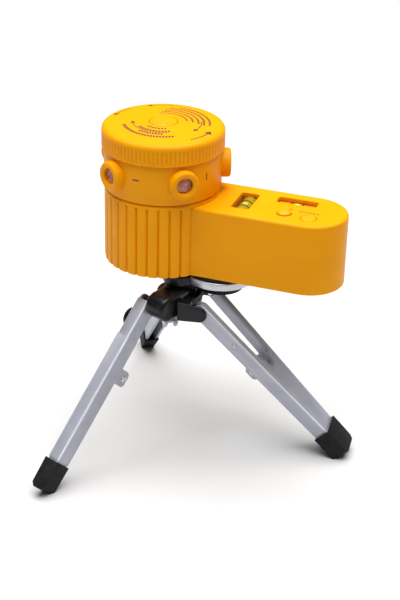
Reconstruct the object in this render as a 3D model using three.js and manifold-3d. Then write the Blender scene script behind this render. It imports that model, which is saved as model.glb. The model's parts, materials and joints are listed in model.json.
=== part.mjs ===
// Laser level with a five-port turning head, on a folding mini tripod with a ball head.
// Millimetres, +Z up, the level's arm along +X, origin under the middle of the whole object on the ground.
import * as THREE from "three";
import { mergeVertices } from "three/addons/utils/BufferGeometryUtils.js";
import Module from "manifold-3d";

const wasm = await Module();
wasm.setup();

// ---------------------------------------------------------------- driving dimensions

const gap = 0.3; // between pieces that touch
const joinLap = 0.6; // how far joined lumps of one piece run into each other

// Level body: a fluted drum with a flat arm, z = 0 is its underside.
const drumRadius = 31.6;
const drumHeight = 42.3;
const armHeight = 39.8;
const armWidth = 40;
const armReach = 103.4;
const shellWall = 2.4;
const edgeRound = 2.4;
const fluteCount = 32;
const fluteRadius = 1.7;
const fluteDepth = 1.1;
const fluteTop = 38.6;
const coverThickness = 2.2;
const coverScrewInset = { drum: 5.5, end: 6.9, side: 6.4 }; // screw centres from the drum, the arm's end and its side
const coverScrewSpread = 32.5; // degrees of the drum's screws either side of the arm's line

// Arm windows, buttons and vials.
const crossWindow = { x: 47, y: 0.4, along: 10, across: 21 };
const longWindow = { x: 73.4, y: 9.4, along: 21.8, across: 7.4 };
const crossVialRadius = 4.5;
const longVialRadius = 3.2;
const vialSink = 0.8; // top of each vial below the arm's top
const cradleWall = 1.3;
const laserButton = { x: 71, y: -7.6, radius: 3.7, proud: 1.7 };
const modeButton = { x: 84.6, y: -8.8, radius: 4.0, proud: 0.3 };
const buttonTravel = 0.8;
const switchHeight = 6.2;
const boardTop = 23.6;
const boardThickness = 1.4;

// Battery bay in the arm's underside.
const cellRadius = 5.8;
const cellLength = 5.4;
const cellCount = 3;
const bayStart = 59;
const bayWall = 1.4;
const doorHingeRadius = 1.0;

// Turning head: lens ring, knurled cap, and the laser mount that they turn around.
const ringRadius = 31.8;
const ringBottom = drumHeight + 0.7;
const ringDepth = 21.2;
const ringTop = ringBottom + ringDepth;
const ringWall = 2.6;
const portCount = 5;
const portFirstAngle = 40; // degrees from -Y towards +X
const portHeight = ringBottom + 11.6;
const portRadius = 7.9;
const portFace = ringRadius + 4.6;
const lensRecess = 2.2;
const portBore = 4.4;
const lensThickness = 3.2;
const capRadius = ringRadius + 1.2;
const capRimDepth = 10.7;
const capRimTop = ringTop + gap + capRimDepth;
const capCrown = capRimTop + 2.6;
const capWall = 2.6;
const badgeRadius = 7.5;
const pivotRadius = 3.0;
const mountRadius = 8.5;
const laserBarrelRadius = 5.0;
const laserBarrelLength = 22;

// Tripod: ball head under the arm's root, three forked channel legs.
const hubCentre = new THREE.Vector2(15, -11.5);
const plateCentre = new THREE.Vector2(35, -1.5);
const plateRadius = 19.5;
const plateThickness = 5.9;
const padThickness = 1.5;
const wheelRadius = 13;
const wheelThickness = 3.9;
const cameraScrewRadius = 3.0; // a quarter-inch screw less its running gap
const ballRadius = 4.8;
const ballHeight = -14.5;
const hubRadius = 12.6;
const hubTop = -14;
const hubBottom = -23;
const collarRadius = 8.6;
const collarTop = -12.3;
const knobRadius = 3.6;
const knobThickness = 6.5;
const knobHeight = -19.4;
const knobHeading = 162.5;

// One broad forked leg, and two narrow ones that stand beside their headings' lines.
const legSlope = 45.1; // degrees below the horizontal
const pinHeight = -19.0;
const pinRadius = 1.3;
const legLength = 106; // metal, from the pin
const legDrop = 3.8; // flange edges below the pin
const sheet = 1.2;
const fork = { rise: 4.2, halfTop: 14.5, halfFoot: 7.6, reach: 15.0 };
const narrow = { rise: 5.8, halfTop: 3.9, halfFoot: 3.5, reach: 17.1 };
const legs = {
  right: { section: fork, heading: 95.6, offset: 0 }, // headings in degrees from -Y towards +X
  left: { section: narrow, heading: -21.2, offset: -8, pinSide: -1 },
  back: { section: narrow, heading: -144.4, offset: -5.6, pinSide: 1 },
};
const endRadius = 4.2; // of the legs' rounded top ends, about the pin
const slotHalfWidth = 9.4;
const slotEndHalfWidth = 7.4;
const slotLength = 46;
const earLength = 9;
const forkEars = { start: slotLength - 3, half: 4.6, depth: 9.6 }; // depth from the pin's level inwards
const narrowEars = { start: 38, depth: 12.6 };
const stayCap = { along: 11, rise: 1, radius: 5.6, thickness: 1.6 };
const lobe = { reach: 17.4, height: -17, radius: 7, near: -3.6, far: 9 }; // hub's lobe beside the left leg
const footStart = legLength - 7;
const footEnd = legLength + 10;
const footWall = 1.0;
const groundFacet = 1.3; // how much of each foot's corner the ground plane takes off

// ---------------------------------------------------------------- solids

const up = new THREE.Vector3(0, 0, 1);
const degrees = THREE.MathUtils.degToRad;

function solidOf(geometry) {
  const bare = geometry.clone();
  bare.deleteAttribute("normal");
  bare.deleteAttribute("uv");
  const merged = mergeVertices(bare, 1e-4);
  return new wasm.Manifold(
    new wasm.Mesh({
      numProp: 3,
      vertProperties: merged.attributes.position.array,
      triVerts: new Uint32Array(merged.index.array),
    }),
  );
}

function geometryOf(solid) {
  const mesh = solid.getMesh();
  const geometry = new THREE.BufferGeometry();
  geometry.setAttribute("position", new THREE.BufferAttribute(mesh.vertProperties, 3));
  geometry.setIndex(new THREE.BufferAttribute(mesh.triVerts, 1));
  geometry.computeVertexNormals();
  return geometry;
}

// A round bar along +Z from z = low to z = high.
function bar(radius, low, high, x = 0, y = 0, sides = 18) {
  const geometry = new THREE.CylinderGeometry(radius, radius, high - low, sides);
  geometry.rotateX(Math.PI / 2);
  geometry.translate(x, y, (low + high) / 2);
  return solidOf(geometry);
}

// A round bar from one point towards another.
function rod(radius, from, to, sides = 16) {
  const along = new THREE.Vector3().subVectors(to, from);
  const geometry = new THREE.CylinderGeometry(radius, radius, along.length(), sides);
  geometry.rotateX(Math.PI / 2);
  geometry.applyQuaternion(new THREE.Quaternion().setFromUnitVectors(up, along.clone().normalize()));
  geometry.translate(...from.clone().add(to).multiplyScalar(0.5).toArray());
  return solidOf(geometry);
}

function block(low, high) {
  const geometry = new THREE.BoxGeometry(high[0] - low[0], high[1] - low[1], high[2] - low[2]);
  geometry.translate((low[0] + high[0]) / 2, (low[1] + high[1]) / 2, (low[2] + high[2]) / 2);
  return solidOf(geometry);
}

// A flat plate of a drawn outline, with rounded edges of the given radius.
function plate(shape, low, high, edge = 0, curveSegments = 4) {
  const geometry = new THREE.ExtrudeGeometry(shape, {
    depth: high - low - 2 * edge,
    bevelEnabled: edge > 0,
    bevelSize: edge,
    bevelThickness: edge,
    bevelSegments: 2,
    curveSegments,
  });
  geometry.translate(0, 0, low + edge);
  return solidOf(geometry);
}

// A flat plate of an outline drawn in X and Z, from y = near to y = far.
function sidePlate(shape, near, far, curveSegments = 6) {
  const geometry = new THREE.ExtrudeGeometry(shape, { depth: far - near, bevelEnabled: false, curveSegments });
  geometry.rotateX(Math.PI / 2);
  geometry.translate(0, far, 0);
  return solidOf(geometry);
}

// A turned piece: radius and height pairs, starting and ending on the axis, from the top down.
function turned(profile, sides = 24, x = 0, y = 0) {
  const geometry = new THREE.LatheGeometry(
    profile.map(([radius, height]) => new THREE.Vector2(radius, height)).reverse(),
    sides,
  );
  geometry.rotateX(Math.PI / 2);
  geometry.translate(x, y, 0);
  return solidOf(geometry);
}

function ball(radius, x, y, z, sides = 16) {
  const geometry = new THREE.SphereGeometry(radius, sides, sides / 2);
  geometry.translate(x, y, z);
  return solidOf(geometry);
}

function polygon(points) {
  return new THREE.Shape(points.map(([x, y]) => new THREE.Vector2(x, y)));
}

// A rectangle with rounded corners about a centre.
function roundedRectangle(x, y, along, across, corner) {
  const [a, b] = [along / 2 - corner, across / 2 - corner];
  const shape = new THREE.Shape();
  shape.absarc(x + a, y + b, corner, 0, Math.PI / 2, false);
  shape.absarc(x - a, y + b, corner, Math.PI / 2, Math.PI, false);
  shape.absarc(x - a, y - b, corner, Math.PI, 1.5 * Math.PI, false);
  shape.absarc(x + a, y - b, corner, 1.5 * Math.PI, 2 * Math.PI, false);
  return shape;
}

// ---------------------------------------------------------------- materials

const finish = (color, roughness, metalness = 0) =>
  new THREE.MeshStandardMaterial({ color, roughness, metalness });
const yellowPlastic = finish(0xf2b705, 0.35);
const orangePlastic = finish(0xd96a1e, 0.5);
const blackPlastic = finish(0x111112, 0.4);
const blackRubber = finish(0x0b0b0b, 0.7);
const aluminium = finish(0x9c9ca2, 0.35, 0.9);
const steel = finish(0xb8b8bc, 0.3, 1);
const brass = finish(0xb5913c, 0.35, 1);
const lensPink = finish(0xb0665a, 0.15);
const vialLiquid = finish(0xc9d84a, 0.1);
const boardGreen = finish(0x1f5a35, 0.6);
const nylon = finish(0xe6e3da, 0.5);

const object = new THREE.Group();

function add(name, solid, material, parent = object) {
  const mesh = new THREE.Mesh(geometryOf(solid), material);
  mesh.name = name;
  parent.add(mesh);
  return mesh;
}

// ---------------------------------------------------------------- level body

// Plan of drum and arm together, drawn in by an inset.
function levelPlan(inset) {
  const radius = drumRadius - inset;
  const half = armWidth / 2 - inset;
  const join = Math.sqrt(radius * radius - half * half);
  const endCentre = armReach - armWidth / 2;
  const corner = Math.atan2(half, join);
  const shape = new THREE.Shape();
  shape.moveTo(join, -half);
  shape.absarc(endCentre, 0, half, -Math.PI / 2, Math.PI / 2, false);
  shape.lineTo(join, half);
  shape.absarc(0, 0, radius, corner, 2 * Math.PI - corner, false);
  return shape;
}

const coverInset = shellWall + gap;
const armCeiling = armHeight - shellWall;
const drumCeiling = drumHeight - shellWall;
const screwReach = drumRadius - coverScrewInset.drum;
const screwSpread = degrees(coverScrewSpread);
const coverScrews = [
  [-screwReach * Math.cos(screwSpread), -screwReach * Math.sin(screwSpread)],
  [-screwReach * Math.cos(screwSpread), screwReach * Math.sin(screwSpread)],
  [drumRadius + 5.9, armWidth / 2 - coverScrewInset.side],
  [armReach - coverScrewInset.end, 0],
];
const screwRadius = 1.4;
const screwHeadRadius = 2.6;
const screwHeadHeight = 1.4;
const bossRadius = 3;
const bayEnd = bayStart + cellCount * (cellLength + gap) + 2 * (gap + 0.8) + gap;
const bayHalf = cellRadius + gap;
const boardBox = { start: laserButton.x - 14, end: modeButton.x + 7.4, half: armWidth / 2 - shellWall - 2.4 };
const boardPosts = [
  [boardBox.start + 2.5, -boardBox.half + 2.2],
  [boardBox.end - 2, 2.5],
];
const boardPostRadius = 1.8;
const spindleHole = 7;

function flutes() {
  let cutters = null;
  const armAngle = Math.atan2(armWidth / 2, drumRadius) + 0.06;
  for (let i = 0; i < fluteCount; i++) {
    const angle = ((i + 0.5) * 2 * Math.PI) / fluteCount;
    const fromArm = Math.min(angle, 2 * Math.PI - angle);
    if (fromArm < armAngle) continue;
    const reach = drumRadius + fluteRadius - fluteDepth;
    const cutter = bar(fluteRadius, -1, fluteTop, reach * Math.cos(angle), reach * Math.sin(angle), 4);
    cutters = cutters ? cutters.add(cutter) : cutter;
  }
  return cutters;
}

function bodyShell() {
  const drum = turned(
    [
      [0, drumHeight],
      [drumRadius - edgeRound, drumHeight],
      [drumRadius, drumHeight - edgeRound],
      [drumRadius, 0],
      [0, 0],
    ],
    48,
  );
  const arm = plate(levelPlan(edgeRound), 0, armHeight, edgeRound, 8);
  const cavity = plate(levelPlan(shellWall), -1, armCeiling, 0, 8).add(
    bar(drumRadius - shellWall - fluteDepth * 0.5, armCeiling - joinLap, drumCeiling, 0, 0, 32),
  );
  let shell = drum.add(arm).subtract(flutes()).subtract(cavity);
  for (const [x, y] of coverScrews) {
    const ceiling = Math.hypot(x, y) < drumRadius - bossRadius ? drumCeiling : armCeiling;
    shell = shell.add(bar(bossRadius, coverThickness + gap, ceiling + joinLap, x, y, 16));
  }
  for (const [x, y] of coverScrews) shell = shell.subtract(bar(screwRadius + gap, -1, 12, x, y, 12));
  for (const [x, y] of boardPosts) shell = shell.add(bar(boardPostRadius, boardTop + gap, armCeiling + joinLap, x, y, 12));
  for (const w of [crossWindow, longWindow])
    shell = shell.subtract(plate(roundedRectangle(w.x, w.y, w.along, w.across, 1.6), armCeiling - 1, armHeight + 1));
  for (const b of [laserButton, modeButton])
    shell = shell.subtract(bar(b.radius + gap, armCeiling - 1, armHeight + 1, b.x, b.y, 16));
  return shell.subtract(bar(spindleHole + gap, drumCeiling - 1, drumHeight + 1));
}
add("body_shell", bodyShell(), yellowPlastic);

const bushRadius = 6;
const bushHeight = 9;
const bushBossWall = 2.2;

function bottomCover() {
  const top = 2 * bayHalf + coverThickness + bayWall;
  let cover = plate(levelPlan(coverInset), 0, coverThickness, 0, 8);
  cover = cover.add(
    block([bayStart - bayWall, -bayHalf - bayWall, coverThickness - joinLap], [bayEnd + bayWall, bayHalf + bayWall, top]),
  );
  cover = cover.add(
    bar(bushRadius + gap + bushBossWall, coverThickness - joinLap, bushHeight, plateCentre.x, plateCentre.y, 32),
  );
  cover = cover.subtract(block([bayStart, -bayHalf, -1], [bayEnd, bayHalf, top - bayWall]));
  cover = cover.subtract(bar(bushRadius + gap, -1, bushHeight + 1, plateCentre.x, plateCentre.y, 32));
  for (const [x, y] of coverScrews) {
    cover = cover.subtract(bar(screwRadius + gap, -1, coverThickness + 1, x, y, 12));
    cover = cover.subtract(bar(screwHeadRadius + gap, -1, screwHeadHeight + gap - 0.4, x, y, 16));
  }
  return cover;
}
add("bottom_cover", bottomCover(), yellowPlastic);

coverScrews.forEach(([x, y], i) => {
  const screw = bar(screwHeadRadius, 0.1, screwHeadHeight - 0.4, x, y, 16).add(bar(screwRadius, 0.5, 10, x, y, 12));
  add(`cover_screw_${i + 1}`, screw, steel);
});

// Brass quarter-inch bush that the tripod's camera screw turns into.
add(
  "tripod_bush",
  bar(bushRadius, gap, bushHeight, plateCentre.x, plateCentre.y, 32).subtract(
    bar(cameraScrewRadius + gap, -1, bushHeight + 1, plateCentre.x, plateCentre.y, 24),
  ),
  brass,
);

// Battery door, three button cells standing on it, and a contact plate at each end of the row.
const doorThickness = 1.6;
const doorHinge = { x: bayEnd - gap - doorHingeRadius, z: doorHingeRadius };
add(
  "battery_door",
  block([bayStart + gap, -bayHalf + gap, 0], [doorHinge.x, bayHalf - gap, doorThickness]).add(
    rod(
      doorHingeRadius,
      new THREE.Vector3(doorHinge.x, -bayHalf + gap, doorHinge.z),
      new THREE.Vector3(doorHinge.x, bayHalf - gap, doorHinge.z),
      16,
    ),
  ),
  yellowPlastic,
);
const contactThickness = 0.5;
const cellAxis = doorThickness + 2 * gap + cellRadius;
for (let i = 0; i < cellCount; i++) {
  const start = bayStart + contactThickness + 2 * gap + i * (cellLength + gap);
  add(
    `button_cell_${i + 1}`,
    rod(cellRadius, new THREE.Vector3(start, 0, cellAxis), new THREE.Vector3(start + cellLength, 0, cellAxis), 32),
    steel,
  );
}
const contactHalf = 4;
const cellsEnd = bayStart + contactThickness + 2 * gap + cellCount * (cellLength + gap);
for (const [name, start] of [
  ["contact_plate_plus", bayStart + gap],
  ["contact_plate_minus", cellsEnd],
])
  add(
    name,
    block([start, -contactHalf, cellAxis - contactHalf], [start + contactThickness, contactHalf, cellAxis + contactHalf]),
    brass,
  );

// A vial in its open-topped cradle, hung under its window.
function vialSet(name, window, radius, direction) {
  const axis = armHeight - vialSink - radius;
  const floor = axis - radius - gap - cradleWall;
  const outer = roundedRectangle(window.x, window.y, window.along + 2 * cradleWall, window.across + 2 * cradleWall, 1.6);
  const inner = roundedRectangle(window.x, window.y, window.along, window.across, 1);
  const cradle = plate(outer, floor, armCeiling - gap).subtract(plate(inner, floor + cradleWall, armCeiling + 1));
  add(`${name}_cradle`, cradle, orangePlastic);
  const half = (direction === "x" ? window.along : window.across) / 2 - gap;
  const end = direction === "x" ? new THREE.Vector3(half, 0, 0) : new THREE.Vector3(0, half, 0);
  const centre = new THREE.Vector3(window.x, window.y, axis);
  add(`${name}_vial`, rod(radius, centre.clone().sub(end), centre.clone().add(end), 24), vialLiquid);
}
vialSet("cross", crossWindow, crossVialRadius, "y");
vialSet("long", longWindow, longVialRadius, "x");

// A push button: domed or flat head in the shell's hole, a flange under the shell, a stem over its switch.
function pushButton(button) {
  const flangeTop = armCeiling - gap;
  const flangeBottom = flangeTop - 1.2;
  const stemBottom = boardTop + gap + switchHeight + gap + buttonTravel;
  const head = button.proud > 1 ? 0.9 : 0.3;
  return turned(
    [
      [0, armHeight + button.proud],
      [button.radius * 0.6, armHeight + button.proud - head * 0.35],
      [button.radius * 0.92, armHeight + button.proud - head],
      [button.radius, armHeight + button.proud - 1.6 * head],
      [button.radius, flangeTop],
      [button.radius + 1, flangeTop],
      [button.radius + 1, flangeBottom],
      [1.8, flangeBottom],
      [1.8, stemBottom],
      [0, stemBottom],
    ],
    16,
    button.x,
    button.y,
  );
}
add("laser_button", pushButton(laserButton), yellowPlastic);
add("mode_button", pushButton(modeButton), yellowPlastic);
add(
  "circuit_board",
  block([boardBox.start, -boardBox.half, boardTop - boardThickness], [boardBox.end, boardBox.half, boardTop]),
  boardGreen,
);
for (const [name, button] of [
  ["laser_switch", laserButton],
  ["mode_switch", modeButton],
])
  add(
    name,
    block(
      [button.x - 3, button.y - 3, boardTop + gap],
      [button.x + 3, button.y + 3, boardTop + gap + switchHeight],
    ),
    blackPlastic,
  );

// ---------------------------------------------------------------- turning head

// Mount on the drum's top: flange, block with the laser's cross bore, pivot pin and a spigot through the drum.
const flangeThickness = 1.6;
const mountFloor = drumHeight + gap;
const mountTop = portHeight + 7.4;
const pivotTop = capCrown - capWall - 3;
const spigotBottom = drumCeiling - 5.6;
const laserStart = -laserBarrelLength - 4;
function laserMount() {
  const post = turned([
    [0, pivotTop],
    [pivotRadius, pivotTop],
    [pivotRadius, mountTop],
    [mountRadius, mountTop],
    [mountRadius, mountFloor + flangeThickness],
    [13, mountFloor + flangeThickness],
    [13, mountFloor],
    [spindleHole, mountFloor],
    [spindleHole, drumCeiling - 0.1],
    [4, drumCeiling - 0.1],
    [4, spigotBottom],
    [0, spigotBottom],
  ]);
  return post.subtract(
    rod(laserBarrelRadius + gap, new THREE.Vector3(-40, 0, portHeight), new THREE.Vector3(40, 0, portHeight)),
  );
}
add("laser_mount", laserMount(), blackPlastic);
add(
  "mount_nut",
  bar(9, spigotBottom + 1, drumCeiling - gap, 0, 0, 6).subtract(bar(4 + gap, spigotBottom, drumHeight, 0, 0, 18)),
  steel,
);
add(
  "laser_module",
  rod(
    laserBarrelRadius,
    new THREE.Vector3(laserStart, 0, portHeight),
    new THREE.Vector3(laserStart + laserBarrelLength + 8, 0, portHeight),
    24,
  ).subtract(
    rod(1.6, new THREE.Vector3(laserStart - 1, 0, portHeight), new THREE.Vector3(laserStart + 3, 0, portHeight), 16),
  ),
  brass,
);
const washerThickness = 0.8;
add(
  "friction_washer",
  bar(6.5, mountTop + gap, mountTop + gap + washerThickness).subtract(bar(pivotRadius + gap, mountTop, mountTop + 3)),
  nylon,
);

// Lens ring: a plain band with five round ports standing out of it.
const portAngles = Array.from({ length: portCount }, (_, i) => degrees(portFirstAngle + (i * 360) / portCount));
const portDirection = (angle) => new THREE.Vector3(Math.sin(angle), -Math.cos(angle), 0);
const atPort = (angle, reach) => portDirection(angle).multiplyScalar(reach).add(new THREE.Vector3(0, 0, portHeight));
const ringInner = ringRadius - ringWall;

function lensRing() {
  let ring = bar(ringRadius, ringBottom, ringTop, 0, 0, 48);
  for (const angle of portAngles) ring = ring.add(rod(portRadius, atPort(angle, 20), atPort(angle, portFace), 16));
  ring = ring.subtract(bar(ringInner, ringBottom - 1, ringTop + 1, 0, 0, 48));
  for (const angle of portAngles)
    ring = ring.subtract(rod(portBore, atPort(angle, 20), atPort(angle, portFace + 1), 12));
  return ring;
}
add("lens_ring", lensRing(), yellowPlastic);
const lensFace = portFace - lensRecess;
portAngles.forEach((angle, i) => {
  const lens = rod(portBore - gap, atPort(angle, lensFace - lensThickness), atPort(angle, lensFace), 16);
  add(`port_lens_${i + 1}`, lens, lensPink);
});

// Cap: knurled rim over the ring, skirt inside it, and a hub that turns on the pivot pin.
const skirtBottom = ringTop - 5;
const badgeSink = 1.2;
const capScrewRadius = 1.5;
const hubBottomInCap = mountTop + 2 * gap + washerThickness;
function turretCap() {
  const skirt = ringInner - gap;
  const outside = turned(
    [
      [0, capCrown],
      [capRadius * 0.5, capCrown - 0.6],
      [capRadius - 2.4, capRimTop],
      [capRadius - 0.7, capRimTop - 0.7],
      [capRadius, capRimTop - 2.2],
      [capRadius, ringTop + gap],
      [skirt, ringTop + gap],
      [skirt, skirtBottom],
      [0, skirtBottom],
    ],
    48,
  );
  const hollow = bar(skirt - 2, skirtBottom - 1, capRimTop - capWall, 0, 0, 28);
  let cap = outside.subtract(hollow).add(bar(8, hubBottomInCap, capRimTop, 0, 0, 18));
  cap = cap.subtract(bar(pivotRadius + gap, hubBottomInCap - 1, pivotTop + gap, 0, 0, 18));
  cap = cap.subtract(bar(badgeRadius + gap, capCrown - badgeSink, capCrown + 1, 0, 0, 18));
  return cap.subtract(bar(capScrewRadius + gap, pivotTop, capCrown));
}
add("turret_cap", turretCap(), yellowPlastic);
add("cap_badge", bar(badgeRadius, capCrown - badgeSink + gap, capCrown + gap, 0, 0, 18), yellowPlastic);
add("cap_screw", bar(capScrewRadius, pivotTop + gap, capCrown - badgeSink - gap), steel);

// ---------------------------------------------------------------- ball head

const plateTop = -gap - padThickness - gap;
const plateBottom = plateTop - plateThickness;
const wheelTop = plateBottom - gap;
const wheelBottom = wheelTop - wheelThickness;
const { x: px, y: py } = plateCentre;
const { x: hx, y: hy } = hubCentre;
const stemRadius = 2.6;
const lobeRadius = 8.5;

add(
  "platform_pad",
  bar(plateRadius - 0.8, -gap - padThickness, -gap, px, py, 40).subtract(bar(cameraScrewRadius + 1, -5, 1, px, py, 18)),
  blackRubber,
);
add(
  "platform_plate",
  bar(plateRadius, plateBottom, plateTop, px, py, 40)
    .add(bar(lobeRadius, plateBottom, plateTop, hx, hy, 20))
    .subtract(bar(cameraScrewRadius + gap, plateBottom - 1, plateTop + 1, px, py, 18))
    .subtract(bar(stemRadius + gap, plateBottom - 1, plateTop + 1, hx, hy, 18))
    .subtract(bar(4.6, plateTop - 2.2, plateTop + 1, hx, hy, 18)),
  aluminium,
);
const screwPocket = 1.8;
add(
  "thumb_wheel",
  bar(wheelRadius, wheelBottom, wheelTop, px, py, 40)
    .subtract(bar(cameraScrewRadius + gap, wheelBottom - 1, wheelTop + 1, px, py, 18))
    .subtract(bar(5.3, wheelBottom - 1, wheelBottom + screwPocket, px, py, 18)),
  blackPlastic,
);
add(
  "camera_screw",
  bar(5, wheelBottom + 0.2, wheelBottom + screwPocket - gap, px, py, 18).add(
    bar(cameraScrewRadius, wheelBottom + 0.6, bushHeight - 1.5, px, py, 18),
  ),
  steel,
);

// Ball stud: the ball in its socket, a neck, a flange under the plate and a spigot through it.
add(
  "ball_stud",
  ball(ballRadius, hx, hy, ballHeight, 14).add(
    turned(
      [
        [0, plateTop - 2.6],
        [stemRadius, plateTop - 2.6],
        [stemRadius, plateBottom - gap],
        [5.4, plateBottom - gap],
        [5.4, plateBottom - gap - 1],
        [stemRadius, plateBottom - gap - 1],
        [stemRadius, ballHeight],
        [0, ballHeight],
      ],
      24,
      hx,
      hy,
    ),
  ),
  steel,
);
add("stud_screw", bar(4.2, plateTop - 2.2 + gap * 0.3, plateTop - 0.2, hx, hy, 18), steel);

const boreRadius = 6.6;
const boreFloor = hubBottom + 1.6;
const socketRadius = ballRadius + gap;
add(
  "ball_seat",
  bar(boreRadius - gap, boreFloor + gap, ballHeight - gap / 2, hx, hy, 20).subtract(
    ball(socketRadius, hx, hy, ballHeight, 16),
  ),
  nylon,
);
add(
  "socket_ring",
  bar(boreRadius - gap, ballHeight + gap / 2, collarTop + 0.5, hx, hy, 20).subtract(
    ball(socketRadius, hx, hy, ballHeight, 16),
  ),
  blackPlastic,
);

// ---------------------------------------------------------------- tripod hub

// A group whose +X points away from the hub's axis at a heading.
function headingGroup(heading) {
  const group = new THREE.Group();
  group.position.set(hx, hy, 0);
  group.rotation.z = degrees(heading - 90);
  object.add(group);
  return group;
}

function turnedToHeading(solid, heading) {
  return solid.rotate([0, 0, heading - 90]).translate([hx, hy, 0]);
}

const lugRadius = 2.6;
const forkLugHalf = 0.9;
const forkLugOffset = (slotHalfWidth + fork.halfTop) / 2 - 0.1; // midway between a prong's two walls
const narrowLugHalf = narrow.halfTop - sheet - gap - 0.2;
const lugBase = { start: 5, end: 8.4, rise: 3.3 };

// One hinge lug, in a heading's frame: a plate from the hub's core out to a round end about the pin.
function hingeLug(reach, offset, half) {
  const rootReach = 5.5;
  const shape = new THREE.Shape();
  shape.moveTo(rootReach, pinHeight - lugRadius);
  shape.absarc(reach, pinHeight, lugRadius, -Math.PI / 2, Math.PI / 2, false);
  shape.lineTo(rootReach, pinHeight + lugRadius);
  const hole = new THREE.Path();
  hole.absarc(reach, pinHeight, pinRadius + gap, 0, 2 * Math.PI, true);
  shape.holes.push(hole);
  return sidePlate(shape, offset - half, offset + half);
}

// Round-ended lobe beside the left leg, from the hub's core out past the hinge pin, with the pin's socket in it.
function hubLobe() {
  const shape = new THREE.Shape();
  shape.moveTo(2, lobe.height - lobe.radius + 1);
  shape.absarc(lobe.reach, lobe.height, lobe.radius, -Math.PI / 2, Math.PI / 2, false);
  shape.lineTo(8, collarTop - 0.6);
  shape.lineTo(2, collarTop - 0.6);
  const from = new THREE.Vector3(narrow.reach, lobe.near - 1, pinHeight);
  const to = new THREE.Vector3(narrow.reach, pinSocketEnd, pinHeight);
  return sidePlate(shape, lobe.near, lobe.far, 10).subtract(rod(pinRadius + gap, from, to, 12));
}
const pinSocketEnd = lobe.near + 3;

const knobShaftRadius = 1.6;
const knobStart = 15.8;
function tripodHub() {
  let hub = turned(
    [
      [0, collarTop],
      [collarRadius, collarTop],
      [collarRadius, hubTop],
      [hubRadius, hubTop],
      [hubRadius, hubTop - 5.5],
      [hubRadius - 1.6, hubBottom + 1.6],
      [hubRadius - 4.6, hubBottom],
      [0, hubBottom],
    ],
    28,
    hx,
    hy,
  );
  const half = forkLugOffset + forkLugHalf;
  const base = block([lugBase.start, -half, pinHeight - lugBase.rise], [lugBase.end, half, pinHeight + lugBase.rise]);
  hub = hub.add(turnedToHeading(base, legs.right.heading));
  for (const side of [-1, 1])
    hub = hub.add(turnedToHeading(hingeLug(fork.reach, side * forkLugOffset, forkLugHalf), legs.right.heading));
  for (const { offset, heading } of [legs.left, legs.back])
    hub = hub.add(turnedToHeading(hingeLug(narrow.reach, offset, narrowLugHalf), heading));
  hub = hub.add(turnedToHeading(hubLobe(), legs.left.heading));
  hub = hub.subtract(bar(boreRadius, boreFloor, collarTop + 1, hx, hy, 20));
  const shaft = rod(
    knobShaftRadius + gap,
    new THREE.Vector3(boreRadius - 1, 0, knobHeight),
    new THREE.Vector3(knobStart, 0, knobHeight),
    16,
  );
  return hub.subtract(turnedToHeading(shaft, knobHeading));
}
add("tripod_hub", tripodHub(), blackPlastic);

// Clamp knob at the back: turning it presses its screw against the ball's seat.
const knobGroup = headingGroup(knobHeading);
add(
  "clamp_screw",
  rod(
    knobShaftRadius,
    new THREE.Vector3(boreRadius, 0, knobHeight),
    new THREE.Vector3(knobStart + knobThickness - 3, 0, knobHeight),
    16,
  ),
  steel,
  knobGroup,
);
function clampKnob() {
  const grip = rod(
    knobRadius,
    new THREE.Vector3(knobStart, 0, knobHeight),
    new THREE.Vector3(knobStart + knobThickness, 0, knobHeight),
    36,
  );
  const bore = rod(
    knobShaftRadius + gap,
    new THREE.Vector3(knobStart - 1, 0, knobHeight),
    new THREE.Vector3(knobStart + knobThickness - 3 + gap, 0, knobHeight),
    16,
  );
  return grip.subtract(bore);
}
add("clamp_knob", clampKnob(), blackPlastic, knobGroup);

// ---------------------------------------------------------------- legs

// In a leg's own frame +X runs down the leg from the hinge pin and +Z is its outer face's normal.
const halfWidthAt = (section, x) => section.halfTop - ((section.halfTop - section.halfFoot) * x) / legLength;
const legTop = -endRadius;

function taper(section, inset, start, end) {
  const [a, b] = [halfWidthAt(section, start) - inset, halfWidthAt(section, end) - inset];
  return polygon([
    [start, -a],
    [end, -b],
    [end, b],
    [start, a],
  ]);
}

function slotShape(grow) {
  const wide = slotHalfWidth + grow;
  const narrowEnd = slotEndHalfWidth + grow;
  const end = slotLength + grow;
  const corner = 3;
  return polygon([
    [legTop - 2, -wide],
    [slotLength - corner, -narrowEnd],
    [end - corner * 0.3, -narrowEnd + corner * 0.3],
    [end, -narrowEnd + corner],
    [end, narrowEnd - corner],
    [end - corner * 0.3, narrowEnd - corner * 0.3],
    [slotLength - corner, narrowEnd],
    [legTop - 2, wide],
  ]);
}

// Rounds a leg's top end about the hinge pin.
function topEndCut(section) {
  const wide = section.halfTop + 1;
  const from = new THREE.Vector3(0, -wide, 0);
  const to = new THREE.Vector3(0, wide, 0);
  const corner = block([legTop - 1, -wide, -section.rise - 1], [0, wide, section.rise + 1]);
  return corner.subtract(rod(endRadius, from, to, 24));
}

// Two ears folded in from the sheet, side by side.
function ears(start, half, depth, top) {
  const lug = (low, high) => block([start, low, -depth], [start + earLength, high, top]);
  return lug(half - sheet, half).add(lug(-half, sheet - half));
}

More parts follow.
